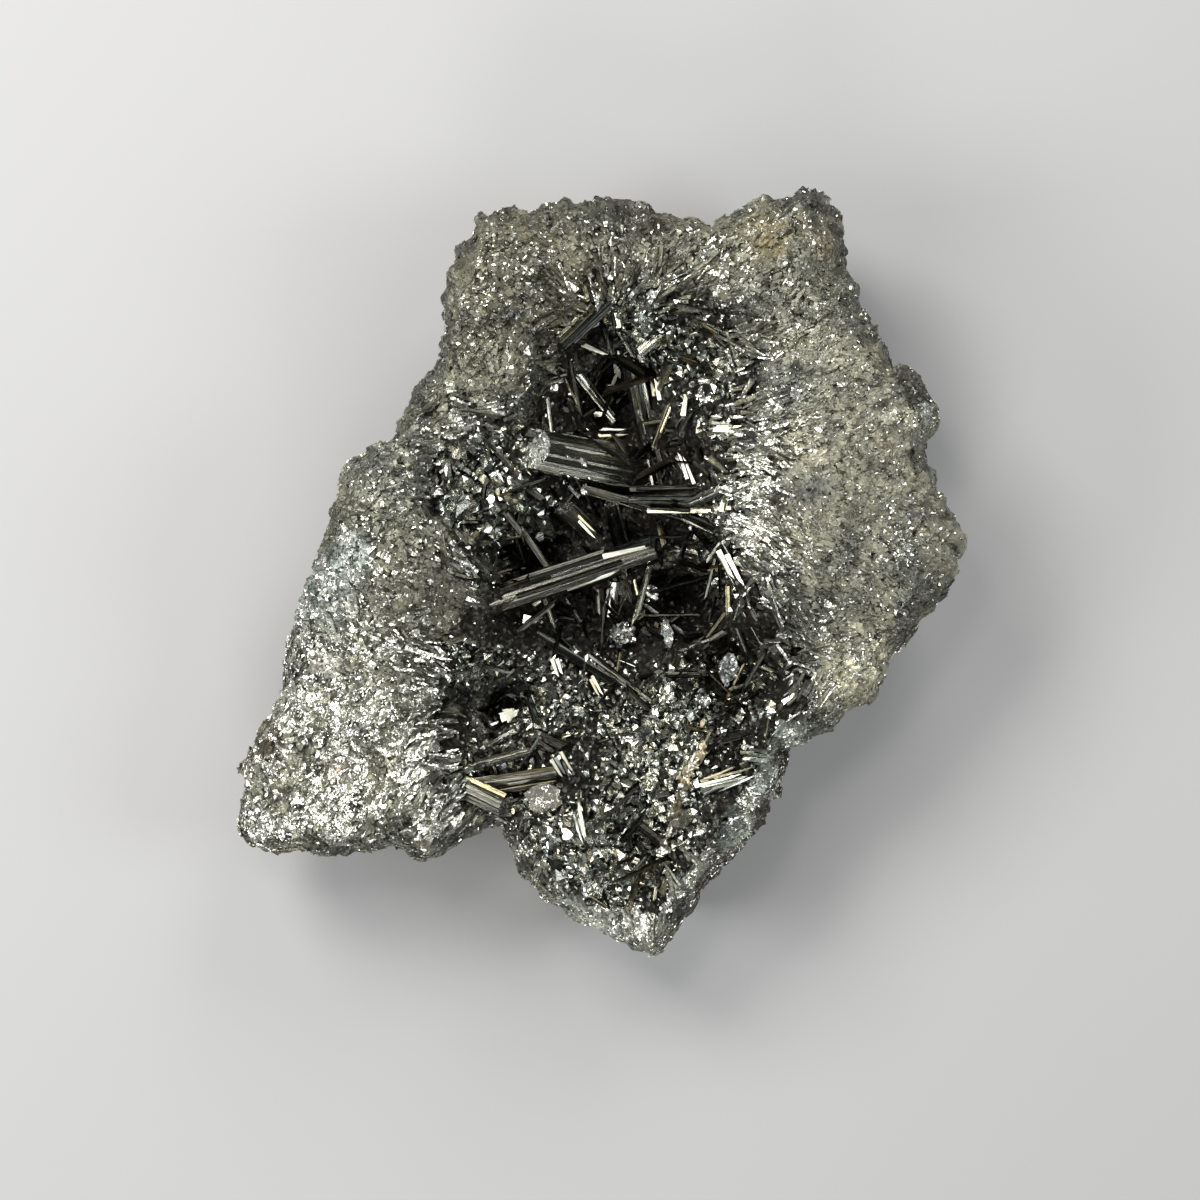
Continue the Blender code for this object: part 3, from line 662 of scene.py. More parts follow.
skinPlan = {
    "topCuts": 7,  # new points along each edge of the CAD's face
    "sideCuts": 5,
    "lowCuts": 2,
    "smoothing": 8,
    "lumps": ((5.0, 0.6), (2.4, 0.45), (1.0, 0.2)),  # wavelength and height in mm
    "lumpiest": (-9.0, 29.0, 14.0, 0.9),  # middle and radius in mm, and how much higher the lumps are there
    "facets": ((1500, 1.5, 0.6), (9000, 0.6, 0.55)),  # how many, steepest slope, limit in mm
    "facetShare": 0.6,
    "wallFaces": (0.62, -0.78),  # the lower right wall faces this way
    "flare": 0.8,  # it stands out by this many mm, and its upper edge draws in as far
    "flareTop": (18.5, 3),  # height in mm at which it does neither, and over how many mm that changes
    "flareFrom": (-13, 4),  # the drawing in starts below this y in mm, and is full this much lower
    "covered": 2.2,  # faces with the crust this close above them stay coarse, in mm
    "sideAbove": 9,  # sides that reach above this are cut finer, in mm
    "topFacing": 0.15,  # how far up a normal points, for the face, the flat cut and the underside
    "flatFacing": 0.97,
    "underFacing": -0.9,
    "foot": 0.2,  # nothing below this moves, in mm
    "footFade": 3,  # and all of it moves from this height
    "lowest": 0.05,
    "seed": 5,
}


def skinCuts(bm):
    # edges of the face, of the upper sides and of the rest, which are cut less and less finely
    covered = {face for face in bm.faces
               if crustTree.ray_cast(face.calc_center_median(), up, skinPlan["covered"] * mm)[0]}
    top = [edge for edge in bm.edges
           if all(face.normal.z > skinPlan["topFacing"] and face not in covered for face in edge.link_faces)]
    chosen = set(top)
    side = [edge for edge in bm.edges if edge not in chosen
            and all(abs(face.normal.z) < skinPlan["flatFacing"] and face not in covered
                    for face in edge.link_faces)
            and max(vert.co.z for vert in edge.verts) > skinPlan["sideAbove"] * mm]
    chosen |= set(side)
    low = [edge for edge in bm.edges if edge not in chosen
           and all(face.normal.z > skinPlan["underFacing"] for face in edge.link_faces)]
    return (top, "topCuts"), (side, "sideCuts"), (low, "lowCuts")


def addLumps(lift, spots):
    *lumpyPlace, lumpyRadius, lumpier = skinPlan["lumpiest"]
    for wave, height in skinPlan["lumps"]:
        for number, spot in enumerate(spots):
            away = (Vector(spot[:2]) - Vector(lumpyPlace) * mm).length / (lumpyRadius * mm)
            higher = 1 + lumpier * math.exp(-away * away)
            lift[number] += height * higher * mm * noise.fractal(spot / (wave * mm), 1.0, 2.0, 2)


def addFlare(lift, spots, normals):
    wallFaces = Vector((*skinPlan["wallFaces"], 0))
    (level, slow), (start, takes) = skinPlan["flareTop"], skinPlan["flareFrom"]
    for number, (spot, normal) in enumerate(zip(spots, normals)):
        least = -min(1.0, max(0.0, (start * mm - spot.y) / (takes * mm)))
        lift[number] += (skinPlan["flare"] * mm * max(0.0, normal.dot(wallFaces))
                         * min(1.0, max(least, (level * mm - spot.z) / (slow * mm))))


def addFacets(lift, spots):
    # each spot belongs to the nearest of some picked ones, and lies on its tilted plane
    dice = np.random.default_rng(skinPlan["seed"])
    for count, slope, most in skinPlan["facets"]:
        picked = dice.choice(len(spots), count, replace=False)
        tree = KDTree(count)
        for number, chosenSpot in enumerate(picked):
            tree.insert(spots[chosenSpot], number)
        tree.balance()
        tilt = dice.uniform(-slope, slope, (count, 3))
        for number, spot in enumerate(spots):
            nearest, which, _ = tree.find(spot)
            rise = (spot - nearest).dot(Vector(tilt[which]))
            lift[number] += min(max(rise, -most * mm), most * mm) * skinPlan["facetShare"]


def slabSkin():
    bm = mergedCopy("slab")
    for edges, cuts in skinCuts(bm):
        edges = [edge for edge in edges if edge.is_valid]
        bmesh.ops.subdivide_edges(bm, edges=edges, cuts=skinPlan[cuts], use_grid_fill=True)
    bmesh.ops.triangulate(bm, faces=[face for face in bm.faces if len(face.verts) > 3])
    foot = skinPlan["foot"] * mm
    free = [vert for vert in bm.verts if vert.co.z > foot]
    for _ in range(skinPlan["smoothing"]):
        bmesh.ops.smooth_vert(bm, verts=free, factor=0.5, use_axis_x=True, use_axis_y=True, use_axis_z=True)
    bm.normal_update()
    spots = [vert.co.copy() for vert in bm.verts]
    normals = [vert.normal.copy() for vert in bm.verts]
    lift = np.zeros(len(spots))
    addLumps(lift, spots)
    addFlare(lift, spots, normals)
    addFacets(lift, spots)
    for vert, normal, rise in zip(bm.verts, normals, lift):
        if vert.co.z > foot:
            vert.co += normal * float(rise) * min(1.0, vert.co.z / (skinPlan["footFade"] * mm))
            vert.co.z = max(vert.co.z, skinPlan["lowest"] * mm)
    places = np.array([tuple(vert.co) for vert in bm.verts])
    mesh = meshFrom(bm, "slabSkin")
    # painted shade near the hollow's edge, for the material
    setValues(mesh, "rim", rimShadeShare(places))
    setValues(mesh, "calm", areaValue(places, "calm"))
    return mesh, np.array([tuple(normal) for normal in normals])


print("slab skin")
skinMesh, skinNormals = slabSkin()
addPiece("slabSkin", skinMesh, [skinFinish], ["slab"])

grainPlan = {
    "faceCount": 33000,  # on the face, shared between three meshes
    "sideCount": 8000,
    "swirl": (28, 7),  # degrees that the fan wanders by, over this many mm
    "spread": 26,  # and each grain by itself
    "roll": 15,
    "mostLean": 1.1,  # radians
    "sway": (2.6, 0.42),  # grains lie the same way over this many mm, leaning by this much
    "lengthSpread": 0.4,
    "widthSpread": 0.35,
    "thickness": 0.3,  # share of a grain's width
    "thicknessRange": (0.7, 1.4),
    "calmFlatter": 0.45,  # how much less the grains lean in calm places
    "steepFlatter": 0.4,  # their least lean, and their least size, where the face turns down
    "steepSmaller": 0.5,
    "turnsDown": 1.4,
    "patches": (4.5, 1.6),  # bright grains gather over this many mm, this strongly
    "patchRange": (0.15, 2.2),
    "sideLean": 5,
    "sideRoll": 9,
    "sideSize": 0.8,
    "sideBright": 0.35,
    "sideFacing": 0.12,  # a place whose normal points up by less than this is on the side
    "sideMore": (0.35, 24),  # their share at the foot, and over how many mm of height it grows by one
    "sideFoot": 0.3,  # mm
    "underCrust": 3,  # no grains where the crust lies this close above, in mm
    "bareWall": (0.62, -0.78, -14, 0.2),  # the wall facing this way has, below this y, this share of them
    "bareWithin": 0.5,
    "sunk": 0.3,  # share of the thickness under the face
    "seed": 21,
}


def spread(dice, corners, facing, weight, wanted):
    # places picked over triangles by their size and weight, and the way each one's triangle faces
    first, second, third = corners
    size = np.linalg.norm(np.cross(second - first, third - first), axis=1)
    chance = size * weight((first + second + third) / 3, facing)
    picked = dice.choice(len(first), wanted, p=chance / chance.sum())
    toSecond, toThird = dice.random(wanted), dice.random(wanted)
    over = toSecond + toThird > 1
    toSecond[over], toThird[over] = 1 - toSecond[over], 1 - toThird[over]
    places = (first[picked] + toSecond[:, None] * (second - first)[picked]
              + toThird[:, None] * (third - first)[picked])
    return places, facing[picked]


def surfacePoints(mesh, normals, dice, wanted, weight):
    # places and smooth directions picked over the mesh's triangles
    mesh.calc_loop_triangles()
    corners = np.zeros(len(mesh.vertices) * 3)
    mesh.vertices.foreach_get("co", corners)
    corners = corners.reshape(-1, 3)
    faces = np.zeros(len(mesh.loop_triangles) * 3, dtype=np.int32)
    mesh.loop_triangles.foreach_get("vertices", faces)
    faces = faces.reshape(-1, 3)
    facing = unit(normals[faces].sum(1))
    return spread(dice, [corners[faces[:, side]] for side in range(3)], facing, weight, wanted)


def lathAxes(places, facing, dice, spreadAngle, lean, roll):
    # each lath's own length, width and thickness directions, along the fan
    count = len(places)
    wave, share = grainPlan["sway"]
    sway = np.array([tuple(noise.turbulence_vector(Vector(place) / (wave * mm), 2, False))
                     for place in places])
    facing = unit(facing + share * sway)
    fan = fanDirection(places)
    wander, over = grainPlan["swirl"]
    swirl = np.array([noise.noise(Vector(place) / (over * mm)) for place in places])
    angle = np.radians(wander) * swirl * 2 + dice.normal(0, np.radians(spreadAngle), count)
    flipped = np.where(dice.random(count) < 0.5, -1.0, 1.0)
    along = turned(fan * flipped[:, None], np.tile([0.0, 0.0, 1.0], (count, 1)), angle)
    along = unit(along - facing * (along * facing).sum(1, keepdims=True))
    across = unit(np.cross(facing, along))
    most = grainPlan["mostLean"]
    along = turned(along, across, -np.clip(np.radians(lean) * dice.normal(0, 1, count), -most, most))
    out = unit(np.cross(along, across))
    turn = np.radians(roll) * dice.normal(0, 1, count)
    return along, turned(across, along, turn), turned(out, along, turn)


def grainMesh(name, places, facing, dice, onSide=False):
    calm = areaValue(places, "calm")
    level = facing[:, 2] * grainPlan["turnsDown"]
    flat = (1 - grainPlan["calmFlatter"] * calm) * np.clip(level, grainPlan["steepFlatter"], 1)
    lean = grainPlan["sideLean"] if onSide else areaValue(places, "lean") * flat
    roll = grainPlan["sideRoll"] if onSide else grainPlan["roll"] * flat
    along, across, out = lathAxes(places, facing, dice, grainPlan["spread"], lean, roll)
    count = len(places)
    smaller = 1 if onSide else np.clip(level, grainPlan["steepSmaller"], 1)
    length = areaValue(places, "long") * mm * dice.lognormal(0, grainPlan["lengthSpread"], count) * smaller
    width = areaValue(places, "wide") * mm * dice.lognormal(0, grainPlan["widthSpread"], count) * smaller
    if onSide:
        length, width = length * grainPlan["sideSize"], width * grainPlan["sideSize"]
    thick = width * grainPlan["thickness"] * dice.uniform(*grainPlan["thicknessRange"], count)
    middle = places + facing * (thick * (0.5 - grainPlan["sunk"]))[:, None]
    over, strength = grainPlan["patches"]
    patchy = np.array([noise.fractal(Vector(place) / (over * mm), 1.0, 2.0, 2) for place in places])
    share = areaValue(places, "bright") * (grainPlan["sideBright"] if onSide else 1.0)
    bright = dice.random(count) < share * np.clip(1 + strength * patchy, *grainPlan["patchRange"])
    # rim sets the painted shade near the hollow's edge
    values = {"tone": dice.random(count), "bright": bright.astype(float),
              "rim": rimShadeShare(places), "calm": calm}
    return joinedMesh(name, lathTemplate(), middle, (along, across, out), length, width, thick, values)


def faceWeight(middles, facing):
    reach = grainPlan["underCrust"] * mm
    bare = np.array([crustTree.ray_cast(Vector(middle), up, reach)[0] is None for middle in middles])
    return (facing[:, 2] > grainPlan["sideFacing"]) * bare * areaValue(middles, "many")


def sideWeight(middles, facing):
    wallX, wallY, highest, share = grainPlan["bareWall"]
    toWall = facing[:, 0] * wallX + facing[:, 1] * wallY
    bare = (toWall > grainPlan["bareWithin"]) & (middles[:, 1] < highest * mm)
    least, height = grainPlan["sideMore"]
    onSide = (facing[:, 2] <= grainPlan["sideFacing"]) * (middles[:, 2] > grainPlan["sideFoot"] * mm)
    return onSide * (least + middles[:, 2] / (height * mm)) * np.where(bare, share, 1)


def addGrains(name, places, facing, dice, onSide=False):
    mesh = grainMesh(name, places, facing, dice, onSide)
    addPiece(name, mesh, [grainFinish])


def makeGrains():
    dice = np.random.default_rng(grainPlan["seed"])
    places, facing = surfacePoints(skinMesh, skinNormals, dice, grainPlan["faceCount"], faceWeight)
    order = np.argsort(places[:, 0])
    for name, part in zip(("grainsLeft", "grainsMiddle", "grainsRight"), np.array_split(order, 3)):
        addGrains(name, places[part], facing[part], dice)
    places, facing = surfacePoints(skinMesh, skinNormals, dice, grainPlan["sideCount"], sideWeight)
    addGrains("grainsSides", places, facing, dice, onSide=True)


print("grains")
makeGrains()

# Where fine silvery crystals cover the hollow's lining: middle and radius in mm, how many, and their size
druseAreas = [
    ((-11.1, 8.8), 5.5, 1.0, 1.5),
    ((-16.1, 12.0), 4.0, 1.0, 1.1),
    ((-15.5, 7.5), 2.6, 1.5, 1.8),
    ((-9.4, 12.8), 2.0, 0.0, 0.7),
    ((-7.2, 9.2), 2.4, 0.0, 0.7),
    ((14.7, 6.6), 3.4, 1.8, 0.8),
    ((15.0, 1.0), 3.0, 1.0, 0.75),
    ((4.5, 27.0), 4.0, 1.2, 0.95),
    ((11.5, 23.5), 4.2, 1.2, 0.95),
    ((12.8, 16.5), 2.6, 1.1, 1.0),
    ((-14.0, -10.6), 2.6, 2.2, 0.9),
    ((-12.4, -15.6), 3.0, 0.0, 0.7),
    ((-5.0, -11.0), 2.8, 0.9, 0.75),
    ((6.5, -18.5), 5.5, 2.3, 1.0),
    ((5.5, -27.0), 5.5, 2.0, 1.0),
    ((-2.5, -33.0), 6.0, 2.9, 1.2),
    ((15.5, -13.5), 4.0, 0.35, 1.0),
    ((17.0, -21.0), 4.0, 0.8, 0.65),
    ((-14.0, -22.0), 3.0, 0.8, 0.9),
    ((-6.5, -15.5), 4.5, 1.1, 0.95),
    ((-0.5, -13.0), 4.0, 0.9, 0.65),
    ((-10.0, -23.0), 4.0, 0.9, 1.0),
]
druseColumns = ("at", "radius", "many", "size")


def druseValue(places, key, elsewhere):
    return nearbyValue(places, druseAreas, druseColumns.index(key), elsewhere, base=0.25, narrowing=1.6)


onCrust, onStone = 1.2, 0.1  # how far over the CAD slab the crust and the skin are taken to be, in mm
gentleSlope = 0.45  # steeper ground than this carries no laths


def groundHeight(x, y):
    # the face, or the lining where the crust covers it, under a point
    hit = fromAbove(slabTree, x, y)
    if hit is None:
        return None
    covered = (round(x / (squareSize * mm)), round(y / (squareSize * mm))) in crustSquares
    return hit.z + (onCrust * mm if covered else onStone * mm)


def groundPoints(spots, reach):
    # places on the ground and the way it faces, leaving out those that miss it
    places, facing = [], []
    for x, y in spots:
        heights = [groundHeight(x + stepX, y + stepY) for stepX, stepY in
                   ((0, 0), (reach, 0), (-reach, 0), (0, reach), (0, -reach))]
        if None in heights:
            continue
        places.append((x, y, heights[0]))
        facing.append((heights[2] - heights[1], heights[4] - heights[3], 2 * reach))
    places, facing = np.array(places), unit(np.array(facing))
    gentle = facing[:, 2] > gentleSlope
    return places[gentle], facing[gentle]


# Where long laths cross the crust's edge: x, y and radius in mm, how many, the share that are bright
lathAreas = [
    (17.5, 14.0, 6.0, 1.0, 0.55), (16.0, 7.0, 5.0, 1.0, 0.85), (18.0, 2.0, 6.0, 1.0, 0.55),
    (15.5, 24.0, 4.0, 0.5, 0.3), (6.0, 31.0, 5.0, 0.8, 0.3), (-3.0, 29.0, 4.0, 0.5, 0.15),
    (-18.5, -13.0, 5.0, 1.0, 0.6), (-18.5, -22.0, 5.0, 1.0, 0.6), (22.0, -8.0, 5.0, 0.7, 0.35),
    (-11.0, -27.0, 4.0, 0.5, 0.4),
]

rimPlan = {
    "tries": 16000,  # random places in this box, in mm, most of which are dropped
    "box": ((-22, 26), (-41, 35)),
    "least": 0.06,  # chance of a bundle away from the areas above
    "outward": 1.2,  # the laths crowd this far outside the crust's edge, in mm
    "band": 2.0,  # and this far to each side of that
    "bundles": 900,
    "perBundle": 3,
    "slopeOver": 0.7,  # the ground's slope is taken over this many mm
    "spread": 16,  # degrees
    "lean": 9,
    "roll": 20,
    "length": 1.9,  # mm
    "width": 0.36,
    "sizeSpread": 0.35,
    "lengthRange": (0.6, 1.1),
    "thickness": 0.6,  # share of the width
    "raised": 0.12,  # mm
    "aside": 0.55,  # the most that a lath of a bundle is moved aside or ahead, in mm
    "ahead": 0.6,
    "higher": (-0.1, 0.3),
    "wobble": 0.09,  # radians
    "bundleRoll": 0.35,
    "bright": 0.25,
    # painted shade from the hollow's edge, the same on every lath
    "paintedRimShade": 0.8,
    "seed": 31,
}


def rimSpots(dice):
    tries, (xs, ys) = rimPlan["tries"], rimPlan["box"]
    spots = np.column_stack([dice.uniform(*xs, tries), dice.uniform(*ys, tries)]) * mm
    distance = rimDistance(np.column_stack([spots, np.zeros(tries)]))
    chance = np.full(tries, rimPlan["least"])
    for x, y, radius, many, _ in lathAreas:
        away = ((spots / mm - (x, y)) ** 2).sum(1) / radius ** 2
        chance = np.maximum(chance, many * np.exp(-away))
    chance *= np.exp(-((distance / mm - rimPlan["outward"]) / rimPlan["band"]) ** 2)
    return spots[dice.random(tries) < chance][:rimPlan["bundles"]]


def rimLaths():
    # longer laths, in bundles, that fan out over the edge of the crust
    dice = np.random.default_rng(rimPlan["seed"])
    places, facing = groundPoints(rimSpots(dice), rimPlan["slopeOver"] * mm)
    axes = lathAxes(places, facing, dice, rimPlan["spread"], rimPlan["lean"], rimPlan["roll"])
    copies = rimPlan["perBundle"]
    count = len(places) * copies
    along, across, out = (np.repeat(axis, copies, axis=0) for axis in axes)
    wobble = dice.normal(0, rimPlan["wobble"], count)
    along, across = turned(along, out, wobble), turned(across, out, wobble)
    roll = dice.normal(0, rimPlan["bundleRoll"], count)
    across, out = turned(across, along, roll), turned(out, along, roll)
    bundleLength = np.repeat(dice.lognormal(0, rimPlan["sizeSpread"], len(places)), copies)
    length = rimPlan["length"] * mm * bundleLength * dice.uniform(*rimPlan["lengthRange"], count)
    width = rimPlan["width"] * mm * dice.lognormal(0, rimPlan["sizeSpread"], count)
    aside, ahead = rimPlan["aside"], rimPlan["ahead"]
    middles = (np.repeat(places + facing * rimPlan["raised"] * mm, copies, axis=0)
               + across * (dice.uniform(-aside, aside, count) * mm)[:, None]
               + along * (dice.uniform(-ahead, ahead, count) * mm)[:, None]
               + np.repeat(facing, copies, axis=0) * (dice.uniform(*rimPlan["higher"], count) * mm)[:, None])
    share = np.full(count, rimPlan["bright"])
    for x, y, radius, _, bright in lathAreas:
        nearby = ((middles[:, :2] / mm - (x, y)) ** 2).sum(1) < radius ** 2
        share[nearby] = np.maximum(share[nearby], bright)
    bright = (dice.random(count) < share).astype(float)
    values = {"tone": dice.random(count), "bright": bright, "rim": np.full(count, rimPlan["paintedRimShade"])}
    mesh = joinedMesh("rimLaths", lathTemplate(), middles, (along, across, out),
                      length, width, width * rimPlan["thickness"], values)
    addPiece("rimLaths", mesh, [grainFinish])


print("rim")
rimLaths()

# Prisms in mm: tip x, y, z; root x, y; width, thickness; share of the width left at the tip
prisms = [
    # the thickest crystal, lying across the middle
    (-7.4, 13.3, 20.6, 5.4, 11.0, 4.3, 3.7, 0.96),
    # the long blades from the left wall, side by side
    (5.9, 2.3, 20.4, -12.8, -3.9, 2.7, 1.5, 0.86),
    (0.4, 1.7, 19.6, -11.2, -2.2, 1.5, 1.2, 0.8),
    (5.6, 3.2, 21.4, -3.4, 0.4, 1.2, 1.0, 0.9),
    (2.4, 0.2, 19.8, -6.4, -3.0, 1.3, 1.0, 0.9),
    # steep crystals behind the blades
    (-4.0, 6.9, 18.8, 0.2, 2.8, 2.1, 1.8, 1.0),
    (1.2, 7.6, 18.6, 2.8, 1.6, 2.2, 1.7, 0.9),
    (2.4, 1.0, 17.6, 3.9, -5.0, 1.9, 1.5, 0.9),
    (-9.4, 4.4, 17.6, -7.4, -1.4, 1.2, 1.0, 0.8),
    # blades that cross from the right wall
    (-2.0, 9.0, 19.2, 12.6, 4.8, 1.3, 0.9, 0.7),
    (3.0, 7.8, 19.6, 12.8, 7.8, 2.9, 2.0, 0.25),
    (-5.9, 5.6, 18.4, 1.6, 7.8, 1.1, 0.9, 0.8),
    (9.6, 7.4, 19.4, 15.4, 9.8, 1.7, 1.2, 0.7),
    (9.4, 6.1, 19.6, 13.6, 4.2, 1.7, 1.4, 0.8),
    # the upper end of the hollow
    (3.4, 23.0, 17.4, 5.6, 13.4, 2.3, 1.9, 0.9),
    (5.8, 13.4, 19.2, 10.0, 23.6, 1.3, 0.9, 0.5),
    (1.5, 16.6, 15.6, -3.2, 22.6, 1.1, 0.9, 0.6),
    (-2.7, 18.0, 17.0, -4.6, 22.2, 1.0, 0.8, 0.5),
    (1.4, 23.9, 17.6, -2.8, 25.4, 0.9, 0.8, 0.8),
    (4.2, 23.8, 20.4, 8.2, 27.0, 1.5, 1.1, 0.8),
    (-4.2, 24.6, 19.4, 1.6, 30.4, 1.9, 1.4, 0.7),
    (2.1, 26.8, 17.6, 1.4, 31.2, 1.7, 1.3, 0.7),
    (9.0, 16.4, 17.8, 10.2, 21.4, 0.9, 0.8, 0.8),
    (8.5, 12.6, 18.4, 10.4, 9.0, 1.1, 0.9, 0.8),
    (11.8, 14.9, 20.8, 16.2, 15.6, 1.3, 1.0, 0.8),
    (6.8, 28.2, 20.6, 9.6, 29.2, 1.0, 0.8, 0.5),
    # the right wall
    (13.0, 2.6, 21.4, 15.8, -2.4, 1.4, 1.1, 0.8),
    (14.0, -1.6, 19.8, 14.4, -9.4, 0.9, 0.8, 0.7),
    # below the long blades
    (-6.3, -2.8, 19.0, -4.4, -8.2, 1.1, 0.9, 0.9),
    (-4.2, -3.4, 17.8, -0.8, -8.4, 1.3, 1.0, 0.8),
    (-6.4, -5.1, 18.8, -9.6, -5.9, 1.3, 1.0, 0.9),
    (1.4, -12.4, 18.6, -10.4, -5.2, 1.3, 1.0, 0.6),
    (5.6, -14.4, 19.2, -2.6, -8.4, 1.0, 0.8, 0.5),
    (-0.3, -2.0, 17.4, 0.0, -8.6, 1.5, 1.2, 0.7),
    (1.5, -1.1, 17.2, 0.8, -6.4, 2.5, 1.8, 0.8),
    # crystals that stand on end
    (2.3, -7.0, 18.0, 2.5, -7.8, 3.0, 2.8, 0.85),
    (5.6, -2.4, 15.4, 5.3, -3.0, 2.0, 1.9, 0.85),
    (7.3, -7.0, 18.8, 7.0, -8.0, 1.5, 3.3, 0.85),
    (14.0, -10.8, 19.8, 13.6, -11.8, 2.5, 3.7, 0.85),
    (11.5, -14.5, 18.4, 11.4, -15.0, 1.9, 1.7, 0.7),
    # the lower left corner, fanning to the notch
    (-7.6, -19.9, 20.6, -17.0, -22.4, 1.2, 0.9, 0.6),
    (-5.0, -22.4, 19.8, -16.0, -24.2, 2.1, 1.3, 0.8),
    (-10.4, -25.8, 20.6, -15.6, -23.4, 2.4, 1.9, 0.95),
    (-2.2, -17.6, 19.8, -9.8, -20.0, 1.0, 0.8, 0.5),
    (-7.9, -14.2, 19.4, -6.2, -18.8, 0.9, 0.8, 0.6),
    # the lower end of the hollow
    (-3.2, -25.0, 20.8, -1.2, -31.4, 1.2, 0.9, 0.6),
    (11.0, -24.2, 20.0, 16.8, -21.6, 1.6, 1.0, 0.8),
    (4.3, -28.2, 19.4, 9.6, -32.6, 1.3, 1.0, 0.6),
    (12.4, -18.4, 20.0, 9.6, -23.6, 1.3, 1.0, 0.7),
    (16.4, -17.6, 20.0, 10.6, -19.4, 1.2, 0.9, 0.5),
]

# Prisms, by their row above, whose broken ends are cut to face up, and the shades that aren't left to chance,
# which are partly painted light and shade: lighter to look lit, darker to dim a highlight or to look shaded
endSlants = {0: (-0.1, 0.45)}
tonesAndPaintedLight = {
    0: 0.79, 1: 0.755, 5: 0.88, 10: 0.45, 14: 0.4, 15: 0.52, 19: 0.96, 20: 0.2, 31: 0.35, 35: 0.08,
    36: 0.95, 37: 0.98, 38: 0.78, 40: 0.78, 41: 0.66, 42: 0.55,
}

prismPlan = {
    "tipRise": 1.4,  # the least that a tip stands above the crust, in mm
    "rootDepth": 1.6,
    "proud": 1.04,  # how much wider than the CAD's prism
    "coreLength": 0.8,  # how far the CAD's prism is drawn in, as shares of its length and width
    "coreWidth": 0.6,
    "coreSpan": (-0.05, 1.15),  # the CAD's vertices between these shares of the length belong to the prism
    "coreReach": (0.62, 0.1),  # when they are within this share of its width, and this many mm, of its axis
    "upright": 0.35,
    "sides": 28,
    "ridges": 0.05,  # depth of the striations, as a share of the width
    "fuller": 1.08,
    "roundness": (1.45, 1.9),  # of any prism, and of those in endSlants
    "slant": 0.35,
    "roll": 0.3,  # radians
    "seed": 3,
}

# Thinner crystals grown along each prism. Sizes without a note are shares of the prism's own.
besidePlan = {
    "least": 2,
    "many": 2.2,  # more of them for every mm of the prism's width
    "aside": 0.42,
    "start": (0.0, 0.5),
    "end": (0.75, 1.0),
    "pastTip": 0.4,  # mm
    "cutEnd": 0.82,  # how far they reach along those in endSlants
    "splay": (0.8, 1.1),
    "width": (0.15, 0.36),
    "thickness": 0.8,
    "tip": (0.7, 1.0),
    "tone": (-0.14, 0.1),
    "sides": 10,
}


def prismEnds(tipX, tipY, tipZ, rootX, rootY):
    # where a prism starts, under the crust, and where it ends
    root = Vector((rootX, rootY, groundHeight(rootX * mm, rootY * mm) / mm - prismPlan["rootDepth"])) * mm
    least = groundHeight(tipX * mm, tipY * mm) / mm + prismPlan["tipRise"]
    return root, Vector((tipX, tipY, max(tipZ, least))) * mm


def insidePrisms(verts):
    # where each vertex of a CAD prism goes, so that the prism lies inside its ridged one
    moved = {}
    (least, most), (reach, further) = prismPlan["coreSpan"], prismPlan["coreReach"]
    for *ends, width, thickness, _ in prisms:
        root, tip = prismEnds(*ends)
        axis = tip - root
        for vert in verts:
            share = (vert.co - root).dot(axis) / axis.length_squared
            aside = vert.co - root - axis * share
            if least < share < most and aside.length < (reach * max(width, thickness) + further) * mm:
                moved[vert] = root + axis * (share * prismPlan["coreLength"]) + aside * prismPlan["coreWidth"]
    return moved


crustPlan = {
    "longEdge": 1.1,  # longer ones are cut, in mm
    "cuts": 2,
    "lumps": (0.7, 0.2),  # how wide and high, in mm
    "prismAbove": 1.4,  # vertices this far over the slab belong to a prism, in mm
    "liningBelow": 2.0,  # small crystals grow on faces lower than this, in mm
    "facing": 0.05,  # whose normals point up by more than this
    "bright": 0.7,
    "rayStart": 0.01,  # over a place, in mm
}


def overSlab(place):
    # how high a place on the crust is over the slab, or None beside it
    ground = slabTree.ray_cast(place + up * crustPlan["rayStart"] * mm, -up)[0]
    return None if ground is None else place.z - ground.z


def crustLining():
    bm = mergedCopy("crystal_crust")
    long = [edge for edge in bm.edges if edge.calc_length() > crustPlan["longEdge"] * mm]
    bmesh.ops.subdivide_edges(bm, edges=long, cuts=crustPlan["cuts"], use_grid_fill=True)
    bmesh.ops.triangulate(bm, faces=[face for face in bm.faces if len(face.verts) > 3])
    bm.normal_update()
    proud = [vert for vert in bm.verts if (overSlab(vert.co) or 0) > crustPlan["prismAbove"] * mm]
    moved = insidePrisms(proud)
    wide, high = crustPlan["lumps"]
    shifts = {vert: vert.co + vert.normal * (high * mm * noise.noise(vert.co / (wide * mm)))
              for vert in bm.verts}
    shifts.update(moved)
    for vert, place in shifts.items():
        vert.co = place
    places = np.array([tuple(vert.co) for vert in bm.verts])
    mesh = meshFrom(bm, "crystalCrust")
    setValues(mesh, "bright", np.clip(druseValue(places, "many", 0.0) * crustPlan["bright"], 0, 1))
    return mesh


print("crust")
addPiece("crystalCrust", crustLining(), [liningFinish], ["crystal_crust"])


def crystalAxes(root, tip):
    # a turn that sets z along the crystal and x level, or nearly so if it is upright, and its length
    axis = tip - root
    across = axis.cross(up)
    if across.length < prismPlan["upright"] * axis.length:
        across = Vector((1, 0, 0)) - axis * (axis.x / axis.length_squared)
    across.normalize()
    along = axis.normalized()
    return Matrix((across, along.cross(across), along)).transposed().to_4x4(), axis.length


